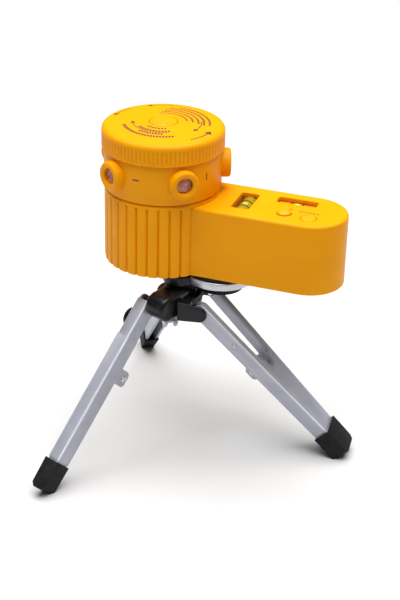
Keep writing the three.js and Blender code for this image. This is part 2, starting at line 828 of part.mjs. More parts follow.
function legSolid(section) {
  const span = section.halfTop + 2;
  const inner = section.rise - sheet;
  let inside = plate(taper(section, sheet, legTop - 1, legLength + 1), -legDrop - 1, inner);
  if (section === fork) inside = inside.subtract(plate(slotShape(sheet), -legDrop - 2, section.rise));
  let leg = plate(taper(section, 0, legTop, legLength), -legDrop, section.rise).subtract(inside);
  if (section === fork) {
    leg = leg.subtract(plate(slotShape(0), -legDrop - 1, section.rise + 1));
    leg = leg.add(ears(forkEars.start, forkEars.half, forkEars.depth, inner + 0.2));
  } else {
    leg = leg.add(ears(narrowEars.start, halfWidthAt(section, narrowEars.start + earLength), narrowEars.depth, inner));
  }
  leg = leg.subtract(topEndCut(section));
  return leg.subtract(rod(pinRadius + gap, new THREE.Vector3(0, -span, 0), new THREE.Vector3(0, span, 0), 16));
}

// Rubber foot: a rounded cap over the leg's end, its lowest corner flattened by the ground.
function footSolid(section) {
  const half = halfWidthAt(section, footStart) + footWall;
  const endHalf = half - 0.4;
  const corner = 2;
  const outline = polygon([
    [footStart, -half],
    [footEnd - corner, -endHalf],
    [footEnd, -endHalf + corner],
    [footEnd, endHalf - corner],
    [footEnd - corner, endHalf],
    [footStart, half],
  ]);
  const [low, high] = [-legDrop - footWall, section.rise + footWall];
  const pocket = plate(taper(section, -gap, footStart - 1, legLength + gap), -legDrop - gap, section.rise + gap);
  const groundCut = block([-60, -30, -60], [60, 30, 0])
    .translate([0, 0, groundFacet])
    .rotate([0, -legSlope, 0])
    .translate([footEnd, 0, low]);
  return plate(outline, low, high).subtract(pocket).subtract(groundCut);
}

// A hinge pin from one place across the leg to another, with its head beyond the second.
function pinSolid(start, face) {
  const side = Math.sign(face);
  const at = (across) => new THREE.Vector3(0, across, 0);
  return rod(pinRadius, at(start), at(face + side * (gap + 0.4)), 12).add(
    rod(2.4, at(face + side * gap), at(face + side * (gap + 0.9)), 12),
  );
}

for (const [side, { section, heading, offset, pinSide }] of Object.entries(legs)) {
  const frame = headingGroup(heading);
  const leg = new THREE.Group();
  leg.position.set(section.reach, offset, pinHeight);
  leg.rotation.y = degrees(legSlope);
  frame.add(leg);
  let solid = legSolid(section);
  if (section === fork) {
    add(`hinge_pin_${side}_a`, pinSolid(0.2 - slotHalfWidth, -fork.halfTop), steel, leg);
    add(`hinge_pin_${side}_b`, pinSolid(slotHalfWidth - 0.2, fork.halfTop), steel, leg);
  } else {
    const reachInward = side === "left" ? pinSocketEnd - gap - offset : narrow.halfTop + gap;
    add(`hinge_pin_${side}`, pinSolid(-pinSide * reachInward, pinSide * narrow.halfTop), steel, leg);
  }
  if (side === "left") {
    const at = (across) => new THREE.Vector3(stayCap.along, across, stayCap.rise);
    const face = -halfWidthAt(section, stayCap.along - stayCap.radius);
    solid = solid.subtract(rod(pinRadius + gap, at(face - 1), at(face + sheet + 1), 12));
    const cap = rod(stayCap.radius, at(face - gap - stayCap.thickness), at(face - gap), 28);
    add("leg_cap_left", cap.add(rod(pinRadius, at(face - gap - 0.5), at(face + sheet + 0.8), 12)), blackPlastic, leg);
  }
  add(`leg_${side}`, solid, aluminium, leg);
  add(`foot_${side}`, footSolid(section), blackRubber, leg);
}

// ---------------------------------------------------------------- stand it on the ground

object.updateMatrixWorld(true);
const bounds = new THREE.Box3().setFromObject(object, true);
const middle = bounds.getCenter(new THREE.Vector3());
object.position.set(-middle.x, -middle.y, -bounds.min.z);

const part = new THREE.Group();
part.add(object);

export default part;
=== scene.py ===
"""Looks of a five-port laser level on a folding mini tripod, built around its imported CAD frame.

Every sub-assembly is a class that holds its sizes in millimetres. The level's own frame has its origin on the
turning head's axis at the underside of the body, +X along the arm and +Z up; `Places` turns it into metres.
"""

from __future__ import annotations

import json
import logging
import math
from dataclasses import dataclass, field
from enum import Enum
from typing import Callable, Iterable, Sequence

import bmesh
import bpy
from mathutils import Euler, Matrix, Vector


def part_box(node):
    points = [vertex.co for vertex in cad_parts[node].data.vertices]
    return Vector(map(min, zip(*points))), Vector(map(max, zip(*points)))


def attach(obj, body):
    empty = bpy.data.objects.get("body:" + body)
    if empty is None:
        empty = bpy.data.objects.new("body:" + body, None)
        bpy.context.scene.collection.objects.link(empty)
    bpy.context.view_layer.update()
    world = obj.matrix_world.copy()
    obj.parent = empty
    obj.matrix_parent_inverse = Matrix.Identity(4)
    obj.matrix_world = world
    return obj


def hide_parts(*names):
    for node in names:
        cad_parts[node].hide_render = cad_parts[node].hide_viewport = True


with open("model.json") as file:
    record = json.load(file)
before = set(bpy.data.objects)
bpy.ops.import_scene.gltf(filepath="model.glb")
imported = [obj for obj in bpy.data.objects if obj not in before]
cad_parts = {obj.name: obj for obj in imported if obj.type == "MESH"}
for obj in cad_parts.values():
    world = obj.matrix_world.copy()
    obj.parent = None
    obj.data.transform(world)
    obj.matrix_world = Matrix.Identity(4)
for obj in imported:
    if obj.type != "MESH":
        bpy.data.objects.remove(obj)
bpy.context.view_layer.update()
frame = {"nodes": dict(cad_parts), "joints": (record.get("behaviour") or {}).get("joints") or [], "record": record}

log = logging.getLogger("laser_level")
MM = 0.001
SMALLEST_CORNER = 0.05
Piece = bpy.types.Object
Socket = bpy.types.NodeSocket
NodeTree = bpy.types.NodeTree
Colour = tuple[float, float, float]
Pair = tuple[float, float]
Outline = Callable[[float], list[Pair]]


class Body(Enum):
    """Moving bodies that the pieces ride on."""

    HUB = "hub"
    PLATFORM = "platform"
    SCREW = "camera_screw"
    TURRET = "turret"
    LASER_BUTTON = "laser_button"
    MODE_BUTTON = "mode_button"
    DOOR = "battery_door"
    CLAMP = "clamp"
    LEG_RIGHT = "leg_right"
    LEG_LEFT = "leg_left"
    LEG_BACK = "leg_back"


class Slot(Enum):
    """Material slots of the record."""

    YELLOW = "yellow_plastic"
    ORANGE = "orange_plastic"
    BLACK = "black_plastic"
    RUBBER = "black_rubber"
    ALUMINIUM = "leg_aluminium"
    STEEL = "steel"
    BRASS = "brass"
    LENS = "lens_plastic"
    LIQUID = "vial_liquid"
    BOARD = "circuit_board"
    NYLON = "nylon"


# ---------------------------------------------------------------- finishes

COAT_ROUGHNESS = 0.12
MOTTLE_DETAIL = 4.0
GRAIN_DETAIL = 3.0
MOTTLE_RANGE: Pair = (0.35, 0.75)
GRAIN_RANGE: Pair = (0.3, 0.7)


@dataclass(frozen=True)
class Finish:
    """One finish: two mottled colours, a roughness that wanders, and a grain that lifts the surface."""

    name: str
    slot: Slot
    colour: Colour
    shade: Colour
    roughness: float
    spread: float = 0.08
    mottle: float = 90.0
    grain: float = 1800.0
    bump: float = 0.05
    relief: float = 0.00006
    metallic: float = 0.0
    coat: float = 0.0
    gloss: float = 0.5
    stretch: Colour = (1.0, 1.0, 1.0)
    turn: Colour = (0.0, 0.0, 0.0)

    def material(self) -> bpy.types.Material:
        """Makes the finish's material once, and gives it again after that.

        Returns:
            The material, with its colour, roughness and grain made by nodes on Object coordinates.
        """
        made = bpy.data.materials.get(self.name)
        if made is not None:
            return made
        made = bpy.data.materials.new(self.name)
        made.use_nodes = True
        tree = made.node_tree
        shader = tree.nodes["Principled BSDF"]
        shader.inputs["Metallic"].default_value = self.metallic
        shader.inputs["Coat Weight"].default_value = self.coat
        shader.inputs["Specular IOR Level"].default_value = self.gloss
        shader.inputs["Coat Roughness"].default_value = COAT_ROUGHNESS
        place = tree.nodes.new("ShaderNodeTexCoord")
        mapping = tree.nodes.new("ShaderNodeMapping")
        mapping.inputs["Rotation"].default_value = self.turn
        mapping.inputs["Scale"].default_value = self.stretch
        tree.links.new(place.outputs["Object"], mapping.inputs["Vector"])
        mottle = self._noise(tree, mapping, self.mottle, MOTTLE_DETAIL)
        grain = self._noise(tree, mapping, self.grain, GRAIN_DETAIL)
        mix = tree.nodes.new("ShaderNodeMix")
        mix.data_type = "RGBA"
        mix.inputs["A"].default_value = (*self.colour, 1.0)
        mix.inputs["B"].default_value = (*self.shade, 1.0)
        tree.links.new(self._ranged(tree, mottle, MOTTLE_RANGE, (0.0, 1.0)), mix.inputs["Factor"])
        tree.links.new(mix.outputs["Result"], shader.inputs["Base Color"])
        wander = (self.roughness - self.spread, self.roughness + self.spread)
        tree.links.new(self._ranged(tree, grain, GRAIN_RANGE, wander), shader.inputs["Roughness"])
        bump = tree.nodes.new("ShaderNodeBump")
        bump.inputs["Strength"].default_value = self.bump
        bump.inputs["Distance"].default_value = self.relief
        tree.links.new(grain, bump.inputs["Height"])
        tree.links.new(bump.outputs["Normal"], shader.inputs["Normal"])
        return made

    @staticmethod
    def _noise(tree: NodeTree, mapping: bpy.types.Node, scale: float, detail: float) -> Socket:
        """Adds a noise texture on a mapping.

        Args:
            tree: The material's nodes.
            mapping: Node that gives the place.
            scale: Lumps in a metre.
            detail: Octaves of finer noise.

        Returns:
            The noise's grey output.
        """
        noise = tree.nodes.new("ShaderNodeTexNoise")
        noise.inputs["Scale"].default_value = scale
        noise.inputs["Detail"].default_value = detail
        tree.links.new(mapping.outputs["Vector"], noise.inputs["Vector"])
        return noise.outputs["Fac"]

    @staticmethod
    def _ranged(tree: NodeTree, value: Socket, given: Pair, wanted: Pair) -> Socket:
        """Stretches a value from one range to another.

        Args:
            tree: The material's nodes.
            value: The value.
            given: Lowest and highest value that count.
            wanted: What those two become.

        Returns:
            The stretched value.
        """
        ranged = tree.nodes.new("ShaderNodeMapRange")
        for name, number in zip(("From Min", "From Max", "To Min", "To Max"), (*given, *wanted)):
            ranged.inputs[name].default_value = number
        tree.links.new(value, ranged.inputs["Value"])
        return ranged.outputs["Result"]


MOULDED_YELLOW = Finish(
    "moulded_yellow", Slot.YELLOW, (0.88, 0.345, 0.0), (0.84, 0.32, 0.0), 0.4, 0.05, 60.0, 2200.0, 0.10,
    gloss=0.1,
)
BUTTON_YELLOW = Finish(
    "button_yellow", Slot.YELLOW, (0.92, 0.37, 0.0), (0.86, 0.32, 0.0), 0.34, 0.05, 300.0, 3000.0, 0.06,
    gloss=0.2,
)
PRINT_BROWN = Finish(
    "print_brown", Slot.YELLOW, (0.09, 0.03, 0.006), (0.14, 0.05, 0.01), 0.55, 0.1, 900.0, 4000.0
)
WELL_ORANGE = Finish(
    "well_orange", Slot.ORANGE, (0.60, 0.13, 0.006), (0.42, 0.08, 0.004), 0.42, 0.08, 180.0, 2200.0, 0.1
)
HUB_BLACK = Finish(
    "hub_black", Slot.BLACK, (0.006, 0.006, 0.007), (0.012, 0.012, 0.014), 0.26, 0.06, 140.0, 2400.0, 0.12,
    coat=0.08, gloss=0.22,
)
PART_BLACK = Finish(
    "part_black", Slot.BLACK, (0.008, 0.008, 0.009), (0.016, 0.016, 0.017), 0.42, 0.08, 200.0, 2600.0, 0.15,
    gloss=0.2,
)
FOOT_RUBBER = Finish(
    "foot_rubber", Slot.RUBBER, (0.006, 0.006, 0.007), (0.014, 0.014, 0.014), 0.6, 0.12, 260.0, 3200.0, 0.35,
    gloss=0.18,
)
SATIN_PLATE = Finish(
    "satin_plate", Slot.ALUMINIUM, (0.60, 0.61, 0.64), (0.50, 0.51, 0.55), 0.34, 0.07, 120.0, 2600.0, 0.1,
    metallic=0.85,
)
PLATED_STEEL = Finish(
    "plated_steel", Slot.STEEL, (0.62, 0.62, 0.63), (0.48, 0.48, 0.50), 0.27, 0.08, 320.0, 3000.0, 0.1,
    metallic=1.0,
)
BRASS = Finish(
    "turned_brass", Slot.BRASS, (0.66, 0.44, 0.14), (0.52, 0.32, 0.09), 0.3, 0.08, 260.0, 2600.0, metallic=1.0
)
NYLON = Finish(
    "nylon_white", Slot.NYLON, (0.74, 0.72, 0.66), (0.66, 0.64, 0.58), 0.48, 0.08, 160.0, 2000.0, 0.1
)
BOARD_GREEN = Finish(
    "board_green", Slot.BOARD, (0.02, 0.13, 0.045), (0.03, 0.2, 0.07), 0.4, 0.1, 420.0, 2000.0, 0.1
)
# Red lens plastic, mottled at random with a pale pink that is painted sheen: the pale tone stands in for the
# lighter flutes that catch the light.
LENS_RED_PAINTED_SHEEN = Finish(
    "lens_pink", Slot.LENS, (0.50, 0.10, 0.04), (0.86, 0.52, 0.44), 0.14, 0.05, 260.0, 2600.0, 0.05, coat=0.6
)
VIAL_GREEN = Finish(
    "vial_green", Slot.LIQUID, (0.36, 0.27, 0.012), (0.27, 0.2, 0.01), 0.14, 0.03, 140.0, 900.0, 0.02,
    gloss=0.3,
)
VIAL_AMBER = Finish(
    "vial_amber", Slot.LIQUID, (0.68, 0.20, 0.008), (0.52, 0.13, 0.005), 0.14, 0.03, 140.0, 900.0, 0.02,
    gloss=0.3,
)
VIAL_BUBBLE = Finish(
    "vial_bubble", Slot.LIQUID, (0.66, 0.56, 0.10), (0.56, 0.46, 0.07), 0.08, 0.02, 240.0, 900.0, 0.02,
    coat=0.3,
)
# Painted highlight: a near-white metal laid on the legs' upper bends, standing in for the bright lines that the
# lamps light along those edges.
PAINTED_EDGE_HIGHLIGHT = Finish(
    "edge_bright", Slot.ALUMINIUM, (0.90, 0.91, 0.95), (0.78, 0.79, 0.85), 0.34, 0.06, 200.0, 2600.0, 0.08,
    metallic=0.4,
)


def leg_finish(side: str, turn: Euler) -> Finish:
    """Satin leg metal whose fine drawn lines run down one leg.

    Args:
        side: The leg's name.
        turn: Rotation from the object's frame to the leg's.

    Returns:
        The leg's finish.
    """
    return Finish(
        f"drawn_aluminium_{side}",
        Slot.ALUMINIUM,
        (0.45, 0.46, 0.53),
        (0.38, 0.39, 0.46),
        0.4,
        0.08,
        150.0,
        3000.0,
        0.14,
        metallic=0.45,
        stretch=(0.06, 1.0, 1.0),
        turn=(turn.x, turn.y, turn.z),
    )


# ---------------------------------------------------------------- places


@dataclass
class Places:
    """Where the frame's axes stand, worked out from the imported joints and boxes."""

    joints: dict[str, dict] = field(default_factory=lambda: {j["name"]: j for j in frame["joints"]})

    def level(self) -> Matrix:
        """Millimetres in the level's frame to metres in the object's.

        Returns:
            The matrix.
        """
        axis = Vector(self.joints["turret_turn"]["pos_m"])
        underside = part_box("body_shell")[0].z
        return Matrix.Translation((axis.x, axis.y, underside)) @ Matrix.Scale(MM, 4)

    def hub(self, outward: Vector) -> Matrix:
        """Millimetres in a frame on the hub's axis, whose +X points outward, to metres.

        Args:
            outward: A level direction away from the hub's axis.

        Returns:
            The matrix; its zero height is the level's underside.
        """
        axis = Vector(self.joints["head_pan"]["pos_m"])
        base = Vector((axis.x, axis.y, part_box("body_shell")[0].z))
        along = Vector((outward.x, outward.y, 0.0)).normalized()
        return self._frame(base, along, Vector((0, 0, 1)).cross(along), Vector((0, 0, 1)))

    def leg(self, side: str, slope: float) -> Matrix:
        """Millimetres in a leg's frame, +X down the leg from its pin and +Z out of its face, to metres.

        Args:
            side: The leg's name.
            slope: Degrees of the leg below the horizontal.

        Returns:
            The matrix.
        """
        joint = self.joints[f"leg_{side}_fold"]
        across = Vector(joint["axis"]).normalized()
        outward = across.cross(Vector((0, 0, 1)))
        down = math.radians(slope)
        along = outward * math.cos(down) - Vector((0, 0, math.sin(down)))
        return self._frame(Vector(joint["pos_m"]), along, across, along.cross(across))

    def heading(self, side: str) -> Vector:
        """Level direction that a leg points in."""
        return Vector(self.joints[f"leg_{side}_fold"]["axis"]).cross(Vector((0, 0, 1)))

    @staticmethod
    def _frame(base: Vector, x: Vector, y: Vector, z: Vector) -> Matrix:
        """Builds a millimetre frame from its origin and directions.

        Args:
            base: The origin, in metres.
            x: Direction of +X.
            y: Direction of +Y.
            z: Direction of +Z.

        Returns:
            The matrix.
        """
        turn = Matrix((x, y, z)).transposed().to_4x4()
        return Matrix.Translation(base) @ turn @ Matrix.Scale(MM, 4)


PLACES = Places()


# ---------------------------------------------------------------- outlines


def quarter_turn(steps: int) -> list[float]:
    """Angles from zero to a right angle."""
    return [math.pi / 2 * i / steps for i in range(steps + 1)]


def half_turn(steps: int) -> list[float]:
    """Angles from a right angle below zero to one above it."""
    return [math.pi * (i / steps - 0.5) for i in range(steps + 1)]


def full_turn(steps: int) -> list[float]:
    """Angles once round, without the last one that closes the circle."""
    return [2 * math.pi * i / steps for i in range(steps)]


def shoulder(radius: float, top: float, edge: float, steps: int) -> list[Pair]:
    """Rounded upper edge of a turned piece.

    Args:
        radius: The side's radius.
        top: The top's height.
        edge: The rounding's radius.
        steps: Faces across it.

    Returns:
        Radii and heights, from the top out to the side.
    """
    return [(radius - edge * (1 - math.sin(a)), top - edge * (1 - math.cos(a))) for a in quarter_turn(steps)]


def round_end(x: float, y: float, radius: float, steps: int) -> list[Pair]:
    """Half circle about a point, bulging towards +X.

    Args:
        x: The centre's place along the piece.
        y: The centre's place across it.
        radius: The half circle's radius.
        steps: Faces round it.

    Returns:
        Its points, from the lowest to the highest.
    """
    return [(x + radius * math.cos(a), y + radius * math.sin(a)) for a in half_turn(steps)]


# ---------------------------------------------------------------- meshes


def mesh_piece(name: str, points: Sequence[Vector], faces: Sequence[Sequence[int]]) -> Piece:
    """Makes a mesh object, with its doubles merged and its normals outwards.

    Args:
        name: The piece's name.
        points: Its corners.
        faces: Corners of each face, by number.

    Returns:
        The piece, linked to the scene.
    """
    mesh = bpy.data.meshes.new(name)
    mesh.from_pydata([tuple(p) for p in points], [], [tuple(f) for f in faces])
    work = bmesh.new()
    work.from_mesh(mesh)
    bmesh.ops.remove_doubles(work, verts=work.verts, dist=1e-6)
    bmesh.ops.recalc_face_normals(work, faces=work.faces)
    work.to_mesh(mesh)
    work.free()
    piece = bpy.data.objects.new(name, mesh)
    bpy.context.scene.collection.objects.link(piece)
    return piece


def loft(name: str, rings: Sequence[Sequence[Vector]], closed: bool = False) -> Piece:
    """Skins rings of equal length in order.

    Args:
        name: The piece's name.
        rings: Closed loops of points.
        closed: Joins the last ring to the first instead of capping both.

    Returns:
        A closed mesh.
    """
    count = len(rings[0])
    points = [p for ring in rings for p in ring]
    faces: list[list[int]] = []
    spans = len(rings) if closed else len(rings) - 1
    for i in range(spans):
        a, b = i * count, ((i + 1) % len(rings)) * count
        for j in range(count):
            k = (j + 1) % count
            faces.append([a + j, a + k, b + k, b + j])
    if not closed:
        faces.append(list(range(count))[::-1])
        faces.append([(len(rings) - 1) * count + j for j in range(count)])
    return mesh_piece(name, points, faces)


def lathe(name: str, profile: Sequence[Pair], segments: int = 96, closed: bool = False) -> Piece:
    """Turns (radius, height) pairs about +Z.

    Args:
        name: The piece's name.
        profile: The outline; an open one starts and ends on the axis.
        segments: Steps round the axis.
        closed: The outline is a loop clear of the axis.

    Returns:
        A closed mesh.
    """
    body = profile if closed else profile[1:-1]
    rings = []
    for radius, height in body:
        turns = full_turn(segments)
        rings.append([Vector((radius * math.cos(a), radius * math.sin(a), height)) for a in turns])
    return loft(name, rings, closed)


def plate(
    name: str, outline: Outline, low: float, high: float, edges: Pair = (0.0, 0.0), steps: int = 4
) -> Piece:
    """A flat plate of an outline, with rounded lower and upper edges.

    Args:
        name: The piece's name.
        outline: Gives the plan's points, drawn in by an inset.
        low: Lower face's height.
        high: Upper face's height.
        edges: Radii of the lower and upper edge.
        steps: Faces across a rounded edge.

    Returns:
        The plate.
    """
    levels: list[Pair] = []
    for edge, height, sign in ((edges[0], low, 1), (edges[1], high, -1)):
        arc = quarter_turn(steps) if edge else [0.0]
        part = [(edge * (1 - math.sin(a)), height + sign * edge * (1 - math.cos(a))) for a in arc]
        levels += part if sign > 0 else part[::-1]
    return loft(name, [[Vector((x, y, z)) for x, y in outline(inset)] for inset, z in levels])


def rounded_rectangle(
    x: float, y: float, along: float, across: float, corner: float, steps: int = 8
) -> Outline:
    """Outline of a rectangle with round corners.

    Args:
        x: The centre's X.
        y: The centre's Y.
        along: Length on X.
        across: Width on Y.
        corner: The corners' radius.
        steps: Faces round a corner.

    Returns:
        A function that gives the points for an inset.
    """

    def outline(inset: float) -> list[Pair]:
        """Draws the rectangle in.

        Args:
            inset: By how much.

        Returns:
            Its points.
        """
        radius = max(corner - inset, SMALLEST_CORNER)
        a, b = along / 2 - inset - radius, across / 2 - inset - radius
        points = []
        for quarter, (sx, sy) in enumerate(((1, 1), (-1, 1), (-1, -1), (1, -1))):
            for i in range(steps + 1):
                turn = math.pi / 2 * (quarter + i / steps)
                points.append((x + sx * a + radius * math.cos(turn), y + sy * b + radius * math.sin(turn)))
        return points

    return outline


def bevelled(piece: Piece, width: float, steps: int = 2, angle: float = 38.0) -> Piece:
    """Rounds a piece's sharp edges.

    Args:
        piece: The piece.
        width: The rounding's width, in the mesh's own unit.
        steps: Faces across it.
        angle: Edges sharper than this many degrees are rounded.

    Returns:
        The piece, its mesh frozen.
    """
    rounding = piece.modifiers.new("rounding", "BEVEL")
    rounding.width = width
    rounding.segments = steps
    rounding.limit_method = "ANGLE"
    rounding.angle_limit = math.radians(angle)
    rounding.use_clamp_overlap = True
    return frozen(piece)


def frozen(piece: Piece) -> Piece:
    """Replaces a piece's mesh by what its modifiers make of it, and removes them.

    Args:
        piece: The piece.

    Returns:
        The piece.
    """
    bpy.context.view_layer.update()
    graph = bpy.context.evaluated_depsgraph_get()
    mesh = bpy.data.meshes.new_from_object(piece.evaluated_get(graph), depsgraph=graph)
    mesh.name = piece.name
    piece.modifiers.clear()
    piece.data = mesh
    return piece


def combined(piece: Piece, operation: str, others: Iterable[Piece]) -> Piece:
    """Adds, cuts or intersects a piece with others, which are used up.

    Args:
        piece: The piece that stays.
        operation: UNION, DIFFERENCE or INTERSECT.
        others: Closed meshes in the same frame.

    Returns:
        The piece.
    """
    tools = list(others)
    for tool in tools:
        boolean = piece.modifiers.new("joinery", "BOOLEAN")
        boolean.solver = "MANIFOLD"
        boolean.operation = operation
        boolean.object = tool
    frozen(piece)
    for tool in tools:
        bpy.data.objects.remove(tool)
    return piece


def joined(name: str, parts: Sequence[Piece]) -> Piece:
    """Gathers separate shells in one piece.

    Args:
        name: The joined piece's name.
        parts: The shells, in one frame; all but the first are used up.

    Returns:
        The first shell, which holds them all.
    """
    work = bmesh.new()
    for part in parts:
        work.from_mesh(part.data)
        if part is not parts[0]:
            bpy.data.objects.remove(part)
    work.to_mesh(parts[0].data)
    work.free()
    parts[0].name = name
    return parts[0]


def moved(piece: Piece, matrix: Matrix) -> Piece:
    """Places a piece by its mesh, its object staying at the origin.

    Args:
        piece: The piece.
        matrix: What its points are moved by.

    Returns:
        The piece.
    """
    piece.data.transform(matrix)
    piece.data.update()
    return piece


def finished(
    piece: Piece, finish: Finish, body: Body, nodes: Sequence[str] = (), angle: float = 32.0
) -> Piece:
    """Args:
        piece: The mesh, in metres and in place.
        finish: Its finish.
        body: The body it rides on.
        nodes: CAD nodes that it stands for.
        angle: Edges sharper than this many degrees stay crisp.

    Returns:
        The piece.
    """
    mesh = piece.data
    mesh.materials.clear()
    mesh.materials.append(finish.material())
    for polygon in mesh.polygons:
        polygon.material_index = 0
    mesh.shade_smooth()
    mesh.set_sharp_from_angle(angle=math.radians(angle))
    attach(piece, body.value)
    if nodes:
        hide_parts(*nodes)
    log.info("%s: %d faces on %s", piece.name, len(mesh.polygons), body.value)
    return piece


def rod_frame(start: Vector, direction: Vector) -> Matrix:
    """A frame on a rod's axis, with +X kept level where it can be.

    Args:
        start: The frame's origin.
        direction: Where +Z points.

    Returns:
        The matrix.
    """
    z = direction.normalized()
    flat = Vector((0, 0, 1)).cross(z)
    x = flat.normalized() if flat.length > 1e-6 else Vector((1, 0, 0))
    return Matrix.Translation(start) @ Matrix((x, z.cross(x), z)).transposed().to_4x4()


def refined(node: str, finish: Finish, body: Body, width: float, steps: int = 2) -> Piece:
    """Stands in for a CAD node with its own shape, edges rounded.

    Args:
        node: The CAD node.
        finish: Its finish.
        body: The body it rides on.
        width: Edge radius in millimetres.
        steps: Faces across an edge.

    Returns:
        The new piece.
    """
    mesh = frame["nodes"][node].data.copy()
    work = bmesh.new()
    work.from_mesh(mesh)
    bmesh.ops.remove_doubles(work, verts=work.verts, dist=2e-6)
    bmesh.ops.dissolve_limit(work, angle_limit=math.radians(1.0), verts=work.verts, edges=work.edges)
    work.to_mesh(mesh)
    work.free()
    piece = bpy.data.objects.new(f"{node}_finished", mesh)
    bpy.context.scene.collection.objects.link(piece)
    bevelled(piece, width * MM, steps, 25.0)
    return finished(piece, finish, body, [node])


# ---------------------------------------------------------------- geometry node trees


class GrowthTree:
    """A geometry node tree under construction, with named inputs."""

    def __init__(self, name: str) -> None:
        """Starts a tree that takes a mesh and a material and gives a mesh.

        Args:
            name: The tree's name.
        """
        self.tree = bpy.data.node_groups.new(name, "GeometryNodeTree")
        self.tree.interface.new_socket("Geometry", in_out="OUTPUT", socket_type="NodeSocketGeometry")
        self.tree.interface.new_socket("Geometry", in_out="INPUT", socket_type="NodeSocketGeometry")
        self.source = self.tree.nodes.new("NodeGroupInput")
        self.result = self.tree.nodes.new("NodeGroupOutput")

    def number(self, name: str, default: float, whole: bool = False) -> Socket:
        """Adds a named size to the tree.

        Args:
            name: The input's name.
            default: Its value where nothing is set.
            whole: Whether it is a whole number.

        Returns:
            The input's socket inside the tree.
        """
        kind = "NodeSocketInt" if whole else "NodeSocketFloat"
        socket = self.tree.interface.new_socket(name, in_out="INPUT", socket_type=kind)
        socket.default_value = int(default) if whole else default
        return self.source.outputs[name]

    def node(self, kind: str, **settings: object) -> bpy.types.Node:
        """Adds a node.

        Args:
            kind: The node's type.
            **settings: Properties to set on it.

        Returns:
            The node.
        """
        made = self.tree.nodes.new(kind)
        for key, value in settings.items():
            setattr(made, key, value)
        return made

    def feed(self, value: object, socket: Socket) -> None:
        """Links a socket, or sets a plain value, on an input.

        Args:
            value: What the input gets.
            socket: The input.
        """
        if isinstance(value, Socket):
            self.tree.links.new(value, socket)
        else:
            socket.default_value = value

    def maths(self, operation: str, *values: object) -> Socket:
        """Adds a math node.

        Args:
            operation: What it does.
            *values: Sockets or numbers that it takes.

        Returns:
            The result.
        """
        made = self.node("ShaderNodeMath", operation=operation)
        for value, socket in zip(values, made.inputs):
            self.feed(value, socket)
        return made.outputs[0]

    def vector(self, x: object, y: object, z: object) -> Socket:
        """Joins three numbers in a vector.

        Args:
            x: Socket or number for X.
            y: Socket or number for Y.
            z: Socket or number for Z.

        Returns:
            The vector.
        """
        made = self.node("ShaderNodeCombineXYZ")
        for value, socket in zip((x, y, z), made.inputs):
            self.feed(value, socket)
        return made.outputs[0]

    def smooth(self, value: Socket, low: object, high: object, at_low: float, at_high: float) -> Socket:
        """Adds a smooth step.

        Args:
            value: The value that is followed.
            low: Where the step starts.
            high: Where it ends.
            at_low: Result at the start and before it.
            at_high: Result at the end and after it.

        Returns:
            The result.
        """
        made = self.node("ShaderNodeMapRange", interpolation_type="SMOOTHSTEP")
        for name, number in (("Value", value), ("From Min", low), ("From Max", high)):
            self.feed(number, made.inputs[name])
        made.inputs["To Min"].default_value = at_low
        made.inputs["To Max"].default_value = at_high
        return made.outputs["Result"]

    def close(self, geometry: Socket) -> NodeTree:
        """Ends the tree in Realize Instances and Set Material.

        Args:
            geometry: What the tree has made.

        Returns:
            The tree.
        """
        self.tree.interface.new_socket("Finish", in_out="INPUT", socket_type="NodeSocketMaterial")
        realize = self.node("GeometryNodeRealizeInstances")
        dress = self.node("GeometryNodeSetMaterial")
        self.feed(geometry, realize.inputs["Geometry"])
        self.feed(realize.outputs["Geometry"], dress.inputs["Geometry"])
        self.feed(self.source.outputs["Finish"], dress.inputs["Material"])
        self.feed(dress.outputs["Geometry"], self.result.inputs["Geometry"])
        return self.tree


def copies_on(grow: GrowthTree, points: Socket, copy: Socket) -> bpy.types.Node:
    """Adds the node that stands a copy on each point.

    Args:
        grow: The tree.
        points: The points.
        copy: The geometry that is repeated.

    Returns:
        The node, whose rotation is still free.
    """
    copies = grow.node("GeometryNodeInstanceOnPoints")
    grow.feed(points, copies.inputs["Points"])
    grow.feed(copy, copies.inputs["Instance"])
    return copies


